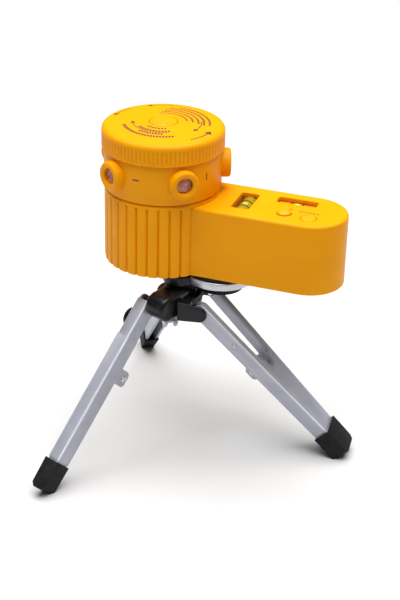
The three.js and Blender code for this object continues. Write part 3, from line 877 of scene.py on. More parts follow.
def radial_flutes_tree() -> NodeTree:
    """Tree that presses grooves between soft lands into a turned piece's outside.

    Returns:
        The tree.
    """
    grow = GrowthTree("RadialFlutes")
    count = grow.number("Count", 32, whole=True)
    depth = grow.number("Depth", 0.8)
    share = grow.number("Groove Share", 0.2)
    crown = grow.number("Land Crown", 0.1)
    low = grow.number("Low", 0.0)
    high = grow.number("High", 38.6)
    fade = grow.number("Fade", 1.5)
    inner = grow.number("Inner Radius", 20.0)
    split = grow.node("ShaderNodeSeparateXYZ")
    grow.feed(grow.node("GeometryNodeInputPosition").outputs[0], split.inputs[0])
    x, y, z = split.outputs
    angle = grow.maths("ARCTAN2", y, x)
    turns = grow.maths("FRACT", grow.maths("DIVIDE", grow.maths("MULTIPLY", angle, count), 2 * math.pi))
    across = grow.maths("MULTIPLY", grow.maths("ABSOLUTE", grow.maths("SUBTRACT", turns, 0.5)), 2.0)
    groove = grow.maths("MULTIPLY", grow.smooth(across, 0.0, share, 1.0, 0.0), depth)
    land = grow.maths("MULTIPLY", grow.maths("POWER", grow.maths("SUBTRACT", 1.0, across), 2.0), crown)
    reach = grow.maths("SQRT", grow.maths("ADD", grow.maths("MULTIPLY", x, x), grow.maths("MULTIPLY", y, y)))
    top = grow.smooth(z, grow.maths("SUBTRACT", high, fade), high, 1.0, 0.0)
    bottom = grow.smooth(z, grow.maths("SUBTRACT", low, 0.01), grow.maths("ADD", low, fade), 0.0, 1.0)
    outside = grow.maths("GREATER_THAN", reach, inner)
    press = grow.maths("MULTIPLY", grow.maths("ADD", groove, land), grow.maths("MULTIPLY", top, outside))
    press = grow.maths("MULTIPLY", press, bottom)
    pull = grow.maths("DIVIDE", grow.maths("MULTIPLY", press, -1.0), grow.maths("MAXIMUM", reach, 0.001))
    move = grow.node("GeometryNodeSetPosition")
    grow.feed(grow.source.outputs["Geometry"], move.inputs["Geometry"])
    offset = grow.vector(grow.maths("MULTIPLY", x, pull), grow.maths("MULTIPLY", y, pull), 0.0)
    grow.feed(offset, move.inputs["Offset"])
    return grow.close(move.outputs["Geometry"])


def polar_array_tree() -> NodeTree:
    """Tree that repeats its own mesh round +Z, between two angles.

    Returns:
        The tree.
    """
    grow = GrowthTree("PolarArray")
    count = grow.number("Count", 12, whole=True)
    start = grow.number("Start", 0.0)
    sweep = grow.number("Sweep", 2 * math.pi)
    points = grow.node("GeometryNodePoints")
    grow.feed(count, points.inputs["Count"])
    index = grow.node("GeometryNodeInputIndex").outputs[0]
    step = grow.maths("DIVIDE", sweep, grow.maths("MAXIMUM", grow.maths("SUBTRACT", count, 1), 1.0))
    angle = grow.maths("ADD", start, grow.maths("MULTIPLY", index, step))
    turn = grow.node("FunctionNodeEulerToRotation")
    grow.feed(grow.vector(0.0, 0.0, angle), turn.inputs["Euler"])
    copies = copies_on(grow, points.outputs[0], grow.source.outputs["Geometry"])
    grow.feed(turn.outputs["Rotation"], copies.inputs["Rotation"])
    return grow.close(copies.outputs["Instances"])


def row_array_tree() -> NodeTree:
    """Tree that repeats its own mesh in a straight row along +Y, about the middle.

    Returns:
        The tree.
    """
    grow = GrowthTree("RowArray")
    count = grow.number("Count", 8, whole=True)
    pitch = grow.number("Pitch", 1.0)
    points = grow.node("GeometryNodePoints")
    grow.feed(count, points.inputs["Count"])
    index = grow.node("GeometryNodeInputIndex").outputs[0]
    middle = grow.maths("DIVIDE", grow.maths("SUBTRACT", count, 1), 2.0)
    along = grow.maths("MULTIPLY", grow.maths("SUBTRACT", index, middle), pitch)
    grow.feed(grow.vector(0.0, along, 0.0), points.inputs["Position"])
    copies = copies_on(grow, points.outputs[0], grow.source.outputs["Geometry"])
    return grow.close(copies.outputs["Instances"])


def at_points_tree() -> NodeTree:
    """Tree that stands one object on each point of its mesh.

    Returns:
        The tree.
    """
    grow = GrowthTree("PieceAtPoints")
    grow.tree.interface.new_socket("Piece", in_out="INPUT", socket_type="NodeSocketObject")
    info = grow.node("GeometryNodeObjectInfo")
    grow.feed(grow.source.outputs["Piece"], info.inputs["Object"])
    points = grow.node("GeometryNodeMeshToPoints")
    grow.feed(grow.source.outputs["Geometry"], points.inputs["Mesh"])
    copies = copies_on(grow, points.outputs[0], info.outputs["Geometry"])
    return grow.close(copies.outputs["Instances"])


def grown(piece: Piece, tree: NodeTree, finish: Finish, **sizes: object) -> Piece:
    """Runs a tree on a piece and keeps the result as a plain mesh.

    Args:
        piece: The mesh that the tree takes.
        tree: The node tree.
        finish: The finish that the tree sets.
        **sizes: Named inputs, spaces written as underscores.

    Returns:
        The piece.
    """
    growth = piece.modifiers.new("growth", "NODES")
    growth.node_group = tree
    keys = {s.name: s.identifier for s in tree.interface.items_tree if s.in_out == "INPUT"}
    growth[keys["Finish"]] = finish.material()
    for name, value in sizes.items():
        growth[keys[name.replace("_", " ")]] = value
    return frozen(piece)


@dataclass(frozen=True)
class Forest:
    """The node trees, each built once."""

    flutes: NodeTree = field(default_factory=radial_flutes_tree)
    ring: NodeTree = field(default_factory=polar_array_tree)
    row: NodeTree = field(default_factory=row_array_tree)
    spots: NodeTree = field(default_factory=at_points_tree)


@dataclass(frozen=True)
class Flutes:
    """Grooves pressed round a turned piece, in millimetres; share is a groove's part of the pitch."""

    count: int
    depth: float
    share: float
    crown: float
    low: float
    high: float
    fade: float
    inner: float

    def pressed(self, piece: Piece, tree: NodeTree, finish: Finish) -> Piece:
        """Presses the grooves into a piece.

        Args:
            piece: The turned piece.
            tree: The flutes' node tree.
            finish: Its finish.

        Returns:
            The piece.
        """
        sizes = {"Groove_Share": self.share, "Land_Crown": self.crown, "Inner_Radius": self.inner}
        sizes |= {"Count": self.count, "Depth": self.depth, "Low": self.low, "High": self.high}
        return grown(piece, tree, finish, Fade=self.fade, **sizes)


# ---------------------------------------------------------------- printed marks


@dataclass
class InkSheet:
    """Thin printed marks laid on a surface that a function gives."""

    name: str
    surface: Callable[[float, float, float], Vector]
    thickness: float = 0.05
    parts: list[Piece] = field(default_factory=list)

    def strip(self, path: Sequence[Pair], widths: Sequence[float]) -> Piece:
        """Adds a strip along a path of the surface's two coordinates.

        Args:
            path: Points of the strip's middle line.
            widths: Full width at each point.

        Returns:
            The strip.
        """
        rings = []
        for i, (u, v) in enumerate(path):
            (u0, v0), (u1, v1) = path[max(i - 1, 0)], path[min(i + 1, len(path) - 1)]
            length = math.hypot(u1 - u0, v1 - v0) or 1.0
            half = widths[i] / 2
            du, dv = -(v1 - v0) / length * half, (u1 - u0) / length * half
            corners = ((u - du, v - dv, 0), (u + du, v + dv, 0), (u + du, v + dv, 1), (u - du, v - dv, 1))
            rings.append([self.surface(a, b, (h - 0.5) * 2 * self.thickness) for a, b, h in corners])
        made = loft(f"{self.name}_mark", rings)
        self.parts.append(made)
        return made

    def arc_arrow(self, radius: float, start: float, end: float, width: float, head: float) -> None:
        """Adds a curved arrow about the origin.

        Args:
            radius: Its line's radius.
            start: Degrees where the line starts.
            end: Degrees where its head is.
            width: The line's width.
            head: The head's length.
        """
        steps = 14
        turns = [math.radians(start + (end - start) * i / steps) for i in range(steps + 1)]
        path = [(radius * math.cos(a), radius * math.sin(a)) for a in turns]
        self.strip(path, [width] * len(path))
        tip_turn = turns[-1] + math.copysign(head / radius, end - start)
        tip = (radius * math.cos(tip_turn), radius * math.sin(tip_turn))
        base = path[-1]
        middle = ((base[0] + tip[0]) / 2, (base[1] + tip[1]) / 2)
        self.strip([base, middle, tip], [head * 1.1, head * 0.6, 0.05])

    def printed(self, body: Body) -> Piece:
        """Joins the marks in one dressed piece in the level's frame."""
        return finished(moved(joined(self.name, self.parts), PLACES.level()), PRINT_BROWN, body)


# ---------------------------------------------------------------- level body


@dataclass
class LevelBody:
    """Fluted drum with its flat arm, windows, vials, buttons and print."""

    forest: Forest
    drum_radius: float = 31.6
    drum_height: float = 42.3
    shoulder: float = 1.9
    flute_count: int = 32
    flute_depth: float = 0.95
    flute_top: float = 40.4
    arm_height: float = 39.8
    arm_half: float = 20.0
    arm_reach: float = 103.4
    arm_round: float = 1.6
    wall: float = 2.4
    cross_window: tuple[float, ...] = (47.0, 0.4, 10.0, 21.0)
    long_window: tuple[float, ...] = (73.4, 9.4, 21.8, 7.4)
    laser_button: tuple[float, ...] = (71.0, -7.6, 3.7)
    mode_button: tuple[float, ...] = (84.6, -8.8, 4.0)
    screw_spots: tuple[Pair, ...] = ((-22.01, -14.02), (-22.01, 14.02), (37.5, 13.6), (96.5, 0.0))
    window_corner: float = 1.6
    window_flare: float = 0.7
    spindle_hole: float = 7.3
    line_half: float = 0.32

    def build(self) -> None:
        """Makes every piece of the body."""
        self._shell()
        self._vial("cross_vial", self.cross_window, 4.3, "y", VIAL_GREEN)
        self._vial("long_vial", self.long_window, 3.1, "x", VIAL_AMBER)
        self._buttons()
        self._screws()
        self._print()
        refined("bottom_cover", MOULDED_YELLOW, Body.PLATFORM, 0.3)
        refined("battery_door", MOULDED_YELLOW, Body.DOOR, 0.25)
        refined("cross_cradle", WELL_ORANGE, Body.PLATFORM, 0.25)
        refined("long_cradle", WELL_ORANGE, Body.PLATFORM, 0.25)

    def _stadium(self, inset: float) -> list[Pair]:
        """Plan of the arm, from inside the drum to its round end.

        Args:
            inset: How far it is drawn in.

        Returns:
            Its points.
        """
        half = self.arm_half - inset
        centre = self.arm_reach - self.arm_half
        root = self.drum_radius * 0.5
        return [(root, -half), *round_end(centre, 0.0, half, 40), (root, half)]

    def _drum(self) -> Piece:
        """Turned drum with its flutes pressed in.

        Returns:
            The drum.
        """
        radius, top, turn = self.drum_radius, self.drum_height, self.shoulder
        profile = [(0.0, top), *shoulder(radius, top, turn, 8)]
        fading = (40.0, 39.6, 39.2, 38.9, 38.5, 38.1, 37.7, 37.3, 36.9)
        profile += [(radius, z) for z in (*fading, 30.0, 15.0, 0.5)]
        profile += [(radius - 0.4, 0.0), (0.0, 0.0)]
        drum = lathe("body_shell_moulding", profile, self.flute_count * 20)
        count, depth, high = self.flute_count, self.flute_depth, self.flute_top
        flutes = Flutes(count, depth, 0.28, 0.42, -5.0, high, 1.3, radius - 1.0)
        return flutes.pressed(drum, self.forest.flutes, MOULDED_YELLOW)

    def _opening(self, window: tuple[float, ...]) -> Piece:
        """Cutter for a window whose upper edge is rounded.

        Args:
            window: Its centre's X and Y, its length and its width.

        Returns:
            The cutter.
        """
        x, y, along, across = window
        flare = self.window_flare
        outline = rounded_rectangle(x, y, along, across, self.window_corner)
        levels = [(0.0, self.arm_height - 5.0)]
        for a in quarter_turn(4):
            levels.append((-flare * (1 - math.cos(a)), self.arm_height - flare * (1 - math.sin(a))))
        levels.append((-flare, self.arm_height + 1.0))
        rings = [[Vector((px, py, z)) for px, py in outline(inset)] for inset, z in levels]
        return loft("window_cutter", rings)

    def _shell(self) -> None:
        """Drum and arm in one moulding, hollow from below, with windows and button holes."""
        arm = plate("arm_block", self._stadium, 0.0, self.arm_height, (0.7, self.arm_round), 6)
        shell = combined(self._drum(), "UNION", [arm])
        arm_ceiling = self.arm_height - self.wall
        hollow = plate("arm_hollow", lambda inset: self._stadium(inset + self.wall), -1.0, arm_ceiling)
        inner = self.drum_radius - self.wall
        ceiling = self.drum_height - self.wall
        drum_hollow = lathe("drum_hollow", [(0, ceiling), (inner, ceiling), (inner, -1.0), (0, -1.0)], 128)
        cutters = [hollow, drum_hollow, self._opening(self.cross_window), self._opening(self.long_window)]
        above, below = 50, 30
        for x, y, radius in (self.laser_button, self.mode_button):
            fit, flare = radius + 0.3, radius + 0.6
            profile = [(0, above), (flare, above), (flare, 39.8), (fit, 39.5), (fit, below), (0, below)]
            cutters.append(moved(lathe("button_hole", profile, 64), Matrix.Translation((x, y, 0))))
        spindle = [(0, above), (self.spindle_hole, above), (self.spindle_hole, below), (0, below)]
        cutters.append(lathe("spindle_hole", spindle, 64))
        combined(shell, "DIFFERENCE", cutters)
        finished(moved(shell, PLACES.level()), MOULDED_YELLOW, Body.PLATFORM, ["body_shell"], 28.0)

    def _vial(
        self, node: str, window: tuple[float, ...], radius: float, direction: str, finish: Finish
    ) -> None:
        """Tube of liquid with round ends, its two reading lines and its bubble.

        Args:
            node: The vial's CAD node.
            window: Its window's centre, length and width.
            radius: The tube's radius.
            direction: x or y, where the tube points.
            finish: The liquid's finish.
        """
        x, y, along, across = window
        half = (along if direction == "x" else across) / 2 - 0.3
        axis = self.arm_height - 1.5 - radius
        profile = [(0.0, half)]
        profile += [(radius * math.sin(a), half - 1.2 * (1 - math.cos(a))) for a in quarter_turn(6)[1:]]
        profile += [(r, -h) for r, h in reversed(profile[1:])] + [(0.0, -half)]
        turn = Vector((1, 0, 0)) if direction == "x" else Vector((0, 1, 0))
        place = PLACES.level() @ rod_frame(Vector((x, y, axis)), turn)
        finished(moved(lathe(f"{node}_tube", profile, 64), place), finish, Body.PLATFORM, [node])
        spread = 0.30 * half
        lines = []
        for side in (-1, 1):
            near, far = side * spread - self.line_half, side * spread + self.line_half
            inner, outer = radius + 0.02, radius + 0.14
            band = [(inner, near), (outer, near), (outer, far), (inner, far)]
            lines.append(lathe(f"{node}_lines", band, 64, closed=True))
        finished(moved(joined(f"{node}_lines", lines), place), PART_BLACK, Body.PLATFORM)
        ball = [(math.sin(math.pi * i / 10), math.cos(math.pi * i / 10)) for i in range(1, 10)]
        bubble = lathe(f"{node}_bubble", [(0.0, 1.0), *ball, (0.0, -1.0)], 32)
        lift = Matrix.Translation((x, y, axis + radius - 0.55))
        size = Matrix.Diagonal((radius * 0.42, spread * 0.72, 0.72, 1.0))
        heading = Matrix.Rotation(math.pi / 2, 4, "Z") if direction == "x" else Matrix.Identity(4)
        lay = PLACES.level() @ lift @ heading @ size @ Matrix.Rotation(math.pi / 2, 4, "X")
        finished(moved(bubble, lay), VIAL_BUBBLE, Body.PLATFORM)

    def _buttons(self) -> None:
        """Domed laser button and nearly flush mode button."""
        for node, (x, y, radius), proud, body in (
            ("laser_button", self.laser_button, 1.7, Body.LASER_BUTTON),
            ("mode_button", self.mode_button, 0.3, Body.MODE_BUTTON),
        ):
            crown = self.arm_height + proud
            dome = min(1.2, proud + 0.1)
            under = self.arm_height - self.wall - 0.3
            profile = [(0.0, crown)]
            profile += [(radius * 0.92 * i / 8, crown - dome * 0.7 * (i / 8) ** 2.4) for i in range(1, 9)]
            profile += [(radius, crown - dome), (radius, under)]
            profile += [(radius + 1, under), (radius + 1, under - 1.2)]
            profile += [(1.8, under - 1.2), (1.8, 31.0), (0.0, 31.0)]
            piece = lathe(f"{node}_cap", profile, 64)
            place = PLACES.level() @ Matrix.Translation((x, y, 0))
            finished(moved(piece, place), BUTTON_YELLOW, body, [node])

    def _screws(self) -> None:
        """Four cross-head screws under the body, repeated on their spots."""
        profile = [(0, 10.0), (1.4, 10.0), (1.4, 1.0), (2.3, 1.0), (2.6, 0.7), (2.6, 0.35), (2.3, 0.12)]
        profile += [(0, 0.12)]
        head = lathe("screw_head", profile, 32)
        cross = ((3.0, 0.8), (0.8, 3.0))
        arms = [plate("recess", rounded_rectangle(0, 0, a, b, 0.25), -1.0, 0.75) for a, b in cross]
        combined(head, "DIFFERENCE", arms)
        spots = mesh_piece("cover_screws", [Vector((x, y, 0)) for x, y in self.screw_spots], [])
        grown(spots, self.forest.spots, PLATED_STEEL, Piece=head)
        bpy.data.objects.remove(head)
        nodes = [f"cover_screw_{i + 1}" for i in range(len(self.screw_spots))]
        finished(moved(spots, PLACES.level()), PLATED_STEEL, Body.PLATFORM, nodes)

    def _print(self) -> None:
        """Small button icon, dash strip and reading marks on the arm's top."""
        sheet = InkSheet("arm_print", lambda u, v, h: Vector((u, v, self.arm_height + h)))
        turns = full_turn(16)[:15]
        icon = [(73.1 + 0.9 * math.cos(a), -1.9 + 0.9 * math.sin(a)) for a in turns]
        sheet.strip(icon, [0.35] * len(icon))
        for i in range(6):
            start = 77.7 + i * 1.9
            sheet.strip([(start, -2.1 - 0.08 * i), (start + 1.2, -2.18 - 0.08 * i)], [1.0, 1.0])
        sheet.printed(Body.PLATFORM)


# ---------------------------------------------------------------- turning head


@dataclass
class TurningHead:
    """Lens ring with five ports, knurled cap, badge and print."""

    forest: Forest
    ring_radius: float = 31.8
    ring_bottom: float = 42.55
    ring_top: float = 64.2
    ring_inner: float = 29.2
    port_count: int = 5
    port_first: float = 40.0
    port_height: float = 54.6
    port_radius: float = 7.9
    port_face: float = 36.4
    lens_face: float = 34.2
    bore: float = 4.4
    cap_radius: float = 33.0
    cap_low: float = 64.5
    cap_edge: float = 76.2
    crown: float = 77.8
    badge_radius: float = 7.5
    knurl_count: int = 90

    def build(self) -> None:
        """Makes every piece of the head."""
        self._ring()
        for i, angle in enumerate(self._port_angles()):
            self._lens(i, angle)
        self._cap()
        self._badge()
        self._ring_marks()
        self._cap_print()

    def _port_angles(self) -> list[float]:
        """Ports' angles in radians, from -Y towards +X."""
        return [math.radians(self.port_first + 360 / self.port_count * i) for i in range(self.port_count)]

    def _port_frame(self, angle: float) -> Matrix:
        """Frame on a port's axis, +Z outwards from the head's axis."""
        return rod_frame(Vector((0, 0, self.port_height)), Vector((math.sin(angle), -math.cos(angle), 0)))

    def _ring(self) -> None:
        """Band with five rounded barrels, bored through."""
        low, high, radius = self.ring_bottom, self.ring_top, self.ring_radius
        edge = 0.35
        profile = [(0.0, high), (radius - edge, high)]
        profile += shoulder(radius, high, edge, 4)[1:]
        profile += [(radius, low + edge), (radius - edge * 0.3, low + edge * 0.3)]
        profile += [(radius - edge, low), (0.0, low)]
        ring = lathe("lens_ring_band", profile, 192)
        round_edge = 1.5
        face, barrel = self.port_face, self.port_radius
        outside = [(0.0, face), *shoulder(barrel, face, round_edge, 6)]
        outside += [(barrel, 30.6), (barrel + 0.5, 30.2), (barrel + 0.5, 24.0), (0.0, 24.0)]
        barrels = [moved(lathe("barrel", outside, 72), self._port_frame(a)) for a in self._port_angles()]
        combined(ring, "UNION", barrels)
        inner, above, below = self.ring_inner, high + 1, low - 1
        hollow = lathe("ring_hollow", [(0, above), (inner, above), (inner, below), (0, below)], 128)
        bore = [(0.0, face + 1), (self.bore + 1.3, face + 1), (self.bore + 1.3, face)]
        bore += [(self.bore + 0.5, face - 0.35), (self.bore, face - 0.9), (self.bore, 20.0), (0.0, 20.0)]
        bores = [moved(lathe("bore", bore, 64), self._port_frame(a)) for a in self._port_angles()]
        combined(ring, "DIFFERENCE", [hollow, *bores])
        finished(moved(ring, PLACES.level()), MOULDED_YELLOW, Body.TURRET, ["lens_ring"], 28.0)

    def _lens(self, number: int, angle: float) -> None:
        """Fluted window in a port, its ribs lying one way or the other.

        Args:
            number: The port's number, from nought.
            angle: The port's angle.
        """
        radius, face = self.bore - 0.3, self.lens_face
        front, back = face - 0.4, face - 3.2
        profile = [(0, front), (radius - 0.2, front), (radius, face - 0.6), (radius, back), (0, back)]
        disc = lathe("disc", profile, 48)
        rib_radius, pitch = 0.34, 0.70
        section = [(rib_radius * math.cos(a), face - 0.42 + rib_radius * math.sin(a)) for a in full_turn(10)]
        rings = [[Vector((x, y, z)) for y, z in section] for x in (-radius, radius)]
        # The lens finish mixes its red with a painted sheen, a pale pink standing for the lit flutes.
        ribs = grown(loft("ribs", rings), self.forest.row, LENS_RED_PAINTED_SHEEN, Count=11, Pitch=pitch)
        edge, above, below = radius - 0.25, face + 1, face - 2
        trim = lathe("trim", [(0, above), (edge, above), (edge, below), (0, below)], 48)
        combined(ribs, "INTERSECT", [trim])
        lens = joined(f"port_lens_{number + 1}_window", [disc, ribs])
        spin = Matrix.Rotation(0.0 if number % 2 == 0 else math.pi / 2, 4, "Z")
        place = PLACES.level() @ self._port_frame(angle) @ spin
        finished(moved(lens, place), LENS_RED_PAINTED_SHEEN, Body.TURRET, [f"port_lens_{number + 1}"])

    def _dome(self, radius: float) -> float:
        """Height of the cap's crown at a radius."""
        return self.crown - (self.crown - self.cap_edge) * (radius / (self.cap_radius - 2.0)) ** 2

    def _cap(self) -> None:
        """Cap in one loop of outline: pocket, crown, ribbed rim, skirt, hollow and hub."""
        radius, low = self.cap_radius, self.cap_low
        skirt = self.ring_inner - 0.3
        pocket = self.badge_radius + 0.3
        profile = [(1.8, 76.6), (pocket, 76.6), (pocket, self._dome(pocket))]
        crown = [pocket + (radius - 2.0 - pocket) * i / 14 for i in range(1, 15)]
        profile += [(reach, self._dome(reach)) for reach in crown]
        profile += shoulder(radius, self.cap_edge, 2.6, 6)[1:]
        profile += [(radius, z) for z in (72.8, 72.4, 72.0, 71.4, 68.0, 65.8, 65.3, 64.9)]
        profile += [(radius - 0.3, low), (skirt, low), (skirt, 59.2), (skirt - 2, 59.2)]
        profile += [(skirt - 2, 72.6), (8.0, 72.6)]
        profile += [(8.0, 63.5), (3.3, 63.5), (3.3, 72.5), (1.8, 72.5)]
        cap = lathe("turret_cap_moulding", profile, self.knurl_count * 8, closed=True)
        knurl = Flutes(self.knurl_count, 0.42, 0.6, 0.1, 64.9, 73.0, 0.8, radius - 0.9)
        knurl.pressed(cap, self.forest.flutes, MOULDED_YELLOW)
        finished(moved(cap, PLACES.level()), MOULDED_YELLOW, Body.TURRET, ["turret_cap"], 26.0)

    def _badge(self) -> None:
        """Raised round badge with a ring groove."""
        top, radius = self.crown + 0.3, self.badge_radius
        profile = [(0.0, top), (radius - 1.9, top - 0.02), (radius - 1.7, top - 0.22)]
        profile += [(radius - 1.3, top - 0.22), (radius - 1.1, top - 0.03), (radius - 0.5, top - 0.08)]
        profile += [(radius - 0.12, top - 0.3), (radius, top - 0.6), (radius, top - 1.2), (0.0, top - 1.2)]
        badge = moved(lathe("cap_badge_disc", profile, 96), PLACES.level())
        finished(badge, BUTTON_YELLOW, Body.TURRET, ["cap_badge"])

    def _ring_marks(self) -> None:
        """Level dash and upright dash beside the ports, on the band."""

        def band(u: float, v: float, h: float) -> Vector:
            """Point on the band.

            Args:
                u: Arc length from -Y.
                v: Height.
                h: Distance off the surface.

            Returns:
                The point.
            """
            turn = u / self.ring_radius
            reach = self.ring_radius + h
            return Vector((reach * math.sin(turn), -reach * math.cos(turn), v))

        sheet = InkSheet("ring_marks", band)
        step = 2 * math.pi * self.ring_radius / self.port_count
        first = math.radians(self.port_first) * self.ring_radius
        middle = self.port_height
        for upright in (first + step * (i + 0.375) for i in (0, 2)):
            sheet.strip([(upright, middle - 0.8), (upright, middle + 3.0)], [0.7, 0.7])
        for dash in (first + step * (i + 0.37) for i in (-1, 1, 3)):
            sheet.strip([(dash - 1.8 + 0.6 * k, middle + 1.0) for k in range(7)], [0.8] * 7)
        sheet.printed(Body.TURRET)

    def _cap_print(self) -> None:
        """Rings of short dashes and curved arrows on the crown."""
        sheet = InkSheet("cap_print", lambda u, v, h: Vector((u, v, self._dome(math.hypot(u, v)) + h)))
        rows = (
            (10.8, -116, -64, 1.5),
            (14.6, -128, -58, 1.9),
            (17.9, -112, -72, 1.6),
            (21.2, -148, -56, 2.0),
            (12.6, 30, 118, 1.2),
            (15.6, 22, 112, 1.3),
            (18.6, 16, 106, 1.3),
            (21.6, 12, 100, 1.4),
            (24.6, 14, 88, 1.4),
        )
        dash_length, pitch = 1.15, 1.6
        for radius, start, end, width in rows:
            half = dash_length / 2 / radius
            path = [(radius * math.cos(a), radius * math.sin(a)) for a in (-half, 0.0, half)]
            dash = sheet.strip(path, [width] * 3)
            sweep = math.radians(end - start)
            count = round(sweep * radius / pitch) + 1
            grown(dash, self.forest.ring, PRINT_BROWN, Count=count, Start=math.radians(start), Sweep=sweep)
        sheet.arc_arrow(16.3, -60, -152, 0.5, 2.8)
        sheet.arc_arrow(20.2, 24, -10, 0.6, 2.8)
        sheet.arc_arrow(27.4, -38, -12, 0.8, 4.0)
        sheet.arc_arrow(28.6, 150, 172, 0.55, 3.0)
        sheet.arc_arrow(27.6, 100, 124, 0.55, 3.0)
        sheet.printed(Body.TURRET)


# ---------------------------------------------------------------- ball head and hub


@dataclass
class BallHead:
    """Plate, pad, thumb wheel, hub and clamp knob under the body."""

    forest: Forest
    plate_radius: float = 19.5
    plate_low: float = -8.0
    plate_high: float = -2.1
    wheel_radius: float = 13.0
    hub_radius: float = 12.6
    hub_top: float = -14.0
    hub_low: float = -23.0
    collar_radius: float = 8.6
    collar_top: float = -12.3
    pin_height: float = -19.0
    fork_reach: float = 15.0
    narrow_reach: float = 17.1
    lug_radius: float = 2.6

    def build(self) -> None:
        """Makes every piece of the ball head."""
        self._plate()
        self._pad()
        self._wheel()
        self._hub()
        self._knob()
        steel = {"ball_stud": Body.PLATFORM, "stud_screw": Body.PLATFORM, "camera_screw": Body.SCREW}
        for node, body in steel.items():
            refined(node, PLATED_STEEL, body, 0.2)
        refined("socket_ring", HUB_BLACK, Body.HUB, 0.3)

    def _screw_axis(self) -> Matrix:
        """Frame on the camera screw's axis at the level's underside."""
        axis = Vector(PLACES.joints["camera_screw_turn"]["pos_m"])
        return Matrix.Translation((axis.x, axis.y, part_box("body_shell")[0].z)) @ Matrix.Scale(MM, 4)

    def _ball_offset(self) -> Vector:
        """Ball's place in the camera screw's frame, level with the underside.

        Returns:
            The place, in millimetres.
        """
        screw = Vector(PLACES.joints["camera_screw_turn"]["pos_m"])
        ball = Vector(PLACES.joints["head_pan"]["pos_m"]) - screw
        return Vector((ball.x, ball.y, 0.0)) / MM

    def _plate(self) -> None:
        """Silver platform disc with a stepped underside, and the black lobe that holds the ball stud."""
        radius, low, high, edge = self.plate_radius, self.plate_low, self.plate_high, 0.7
        profile = [(0.0, high), *shoulder(radius, high, edge, 4)]
        profile += [(radius, high - 3.9), (radius - 0.3, high - 4.3), (17.0, high - 4.6)]
        profile += [(16.4, low + 0.4), (15.8, low)]
        plate_disc = lathe("platform_disc", [*profile, (0.0, low)], 160)
        ball = Matrix.Translation(self._ball_offset())
        tall = [(0.0, 5.0), (3.3, 5.0), (3.3, -15.0), (0.0, -15.0)]
        seat = [(0.0, 5.0), (9.5, 5.0), (9.5, -15.0), (0.0, -15.0)]
        cutters = [lathe("screw_hole", tall, 48), moved(lathe("lobe_seat", seat, 96), ball)]
        combined(plate_disc, "DIFFERENCE", cutters)
        finished(moved(plate_disc, self._screw_axis()), SATIN_PLATE, Body.PLATFORM, ["platform_plate"])
        lobe = [(4.6, high), (8.1, high), (9.0, high - 0.25), (9.4, high - 0.8), (9.4, low + 0.6)]
        lobe += [(8.9, low + 0.1), (8.2, low - 0.6), (7.6, low - 2.4), (6.8, low - 3.0), (5.6, low - 2.9)]
        lobe += [(2.9, low - 1.4), (2.9, -4.3), (4.6, -4.3)]
        boot = moved(lathe("stud_lobe", lobe, 96, closed=True), self._screw_axis() @ ball)
        finished(boot, HUB_BLACK, Body.PLATFORM)

    def _pad(self) -> None:
        """Thin rubber pad with a rounded rim."""
        radius = self.plate_radius - 0.8
        profile = [(4.0, -0.3), (radius - 0.4, -0.3), (radius, -0.7), (radius, -1.4)]
        profile += [(radius - 0.4, -1.8), (4.0, -1.8)]
        pad = lathe("platform_pad_disc", profile, 128, closed=True)
        finished(moved(pad, self._screw_axis()), FOOT_RUBBER, Body.PLATFORM, ["platform_pad"])

    def _wheel(self) -> None:
        """Knurled thumb wheel with a pocket for the screw's head."""
        radius, top, low = self.wheel_radius, -8.3, -12.2
        profile = [(3.3, top), (radius - 0.8, top), (radius - 0.2, top - 0.25), (radius, top - 0.7)]
        profile += [(radius, z) for z in (top - 1.0, top - 1.4, low + 1.4, low + 1.0, low + 0.7)]
        profile += [(radius - 0.2, low + 0.25), (radius - 0.8, low)]
        profile += [(5.3, low), (5.3, low + 1.8), (3.3, low + 1.8)]
        wheel = lathe("thumb_wheel_ring", profile, 400, closed=True)
        knurl = Flutes(50, 0.55, 0.55, 0.1, low + 0.5, top - 0.5, 0.5, radius - 0.6)
        knurl.pressed(wheel, self.forest.flutes, PART_BLACK)
        finished(moved(wheel, self._screw_axis()), PART_BLACK, Body.SCREW, ["thumb_wheel"])

    def _hub(self) -> None:
        """Hub's core with hinge lugs, the broad leg's base, and the round lobe beside the left leg."""
        right = PLACES.hub(PLACES.heading("right"))
        to_hub = right.inverted()
        radius, low = self.hub_radius, self.hub_low
        core = [(0.0, self.collar_top), (self.collar_radius - 0.5, self.collar_top),
                (self.collar_radius, self.collar_top - 0.4), (self.collar_radius, self.hub_top)]
        core += [(radius - 0.9, self.hub_top), (radius - 0.3, self.hub_top - 0.3)]
        core += [(radius, self.hub_top - 0.9)]
        core += [(radius, self.hub_top - 5.5), (radius - 0.5, low + 2.6), (radius - 1.6, low + 1.4)]
        core += [(radius - 3.2, low + 0.4), (radius - 4.8, low), (0.0, low)]
        hub = lathe("tripod_hub_casting", core, 96)
        lugs = [self._lug(self.fork_reach, side * 11.85, 0.9) for side in (-1, 1)]
        base = bevelled(plate("base", rounded_rectangle(6.7, 0, 3.4, 25.5, 0.4), -22.3, -15.7), 0.4)
        lugs.append(base)
        lugs += [self._shroud(side) for side in (-1, 1)]
        for side, offset in (("left", -8.0), ("back", -5.6)):
            turn = to_hub @ PLACES.hub(PLACES.heading(side))
            lugs.append(moved(self._lug(self.narrow_reach, offset, 2.2), turn))
            if side == "left":
                lugs.append(moved(self._lobe(), turn))
        combined(hub, "UNION", lugs)
        bore = [(0.0, -5.0), (6.6, -5.0), (6.6, -21.4), (0.0, -21.4)]
        combined(hub, "DIFFERENCE", [lathe("bore", bore, 64)])
        finished(moved(hub, right), HUB_BLACK, Body.HUB, ["tripod_hub"], 30.0)

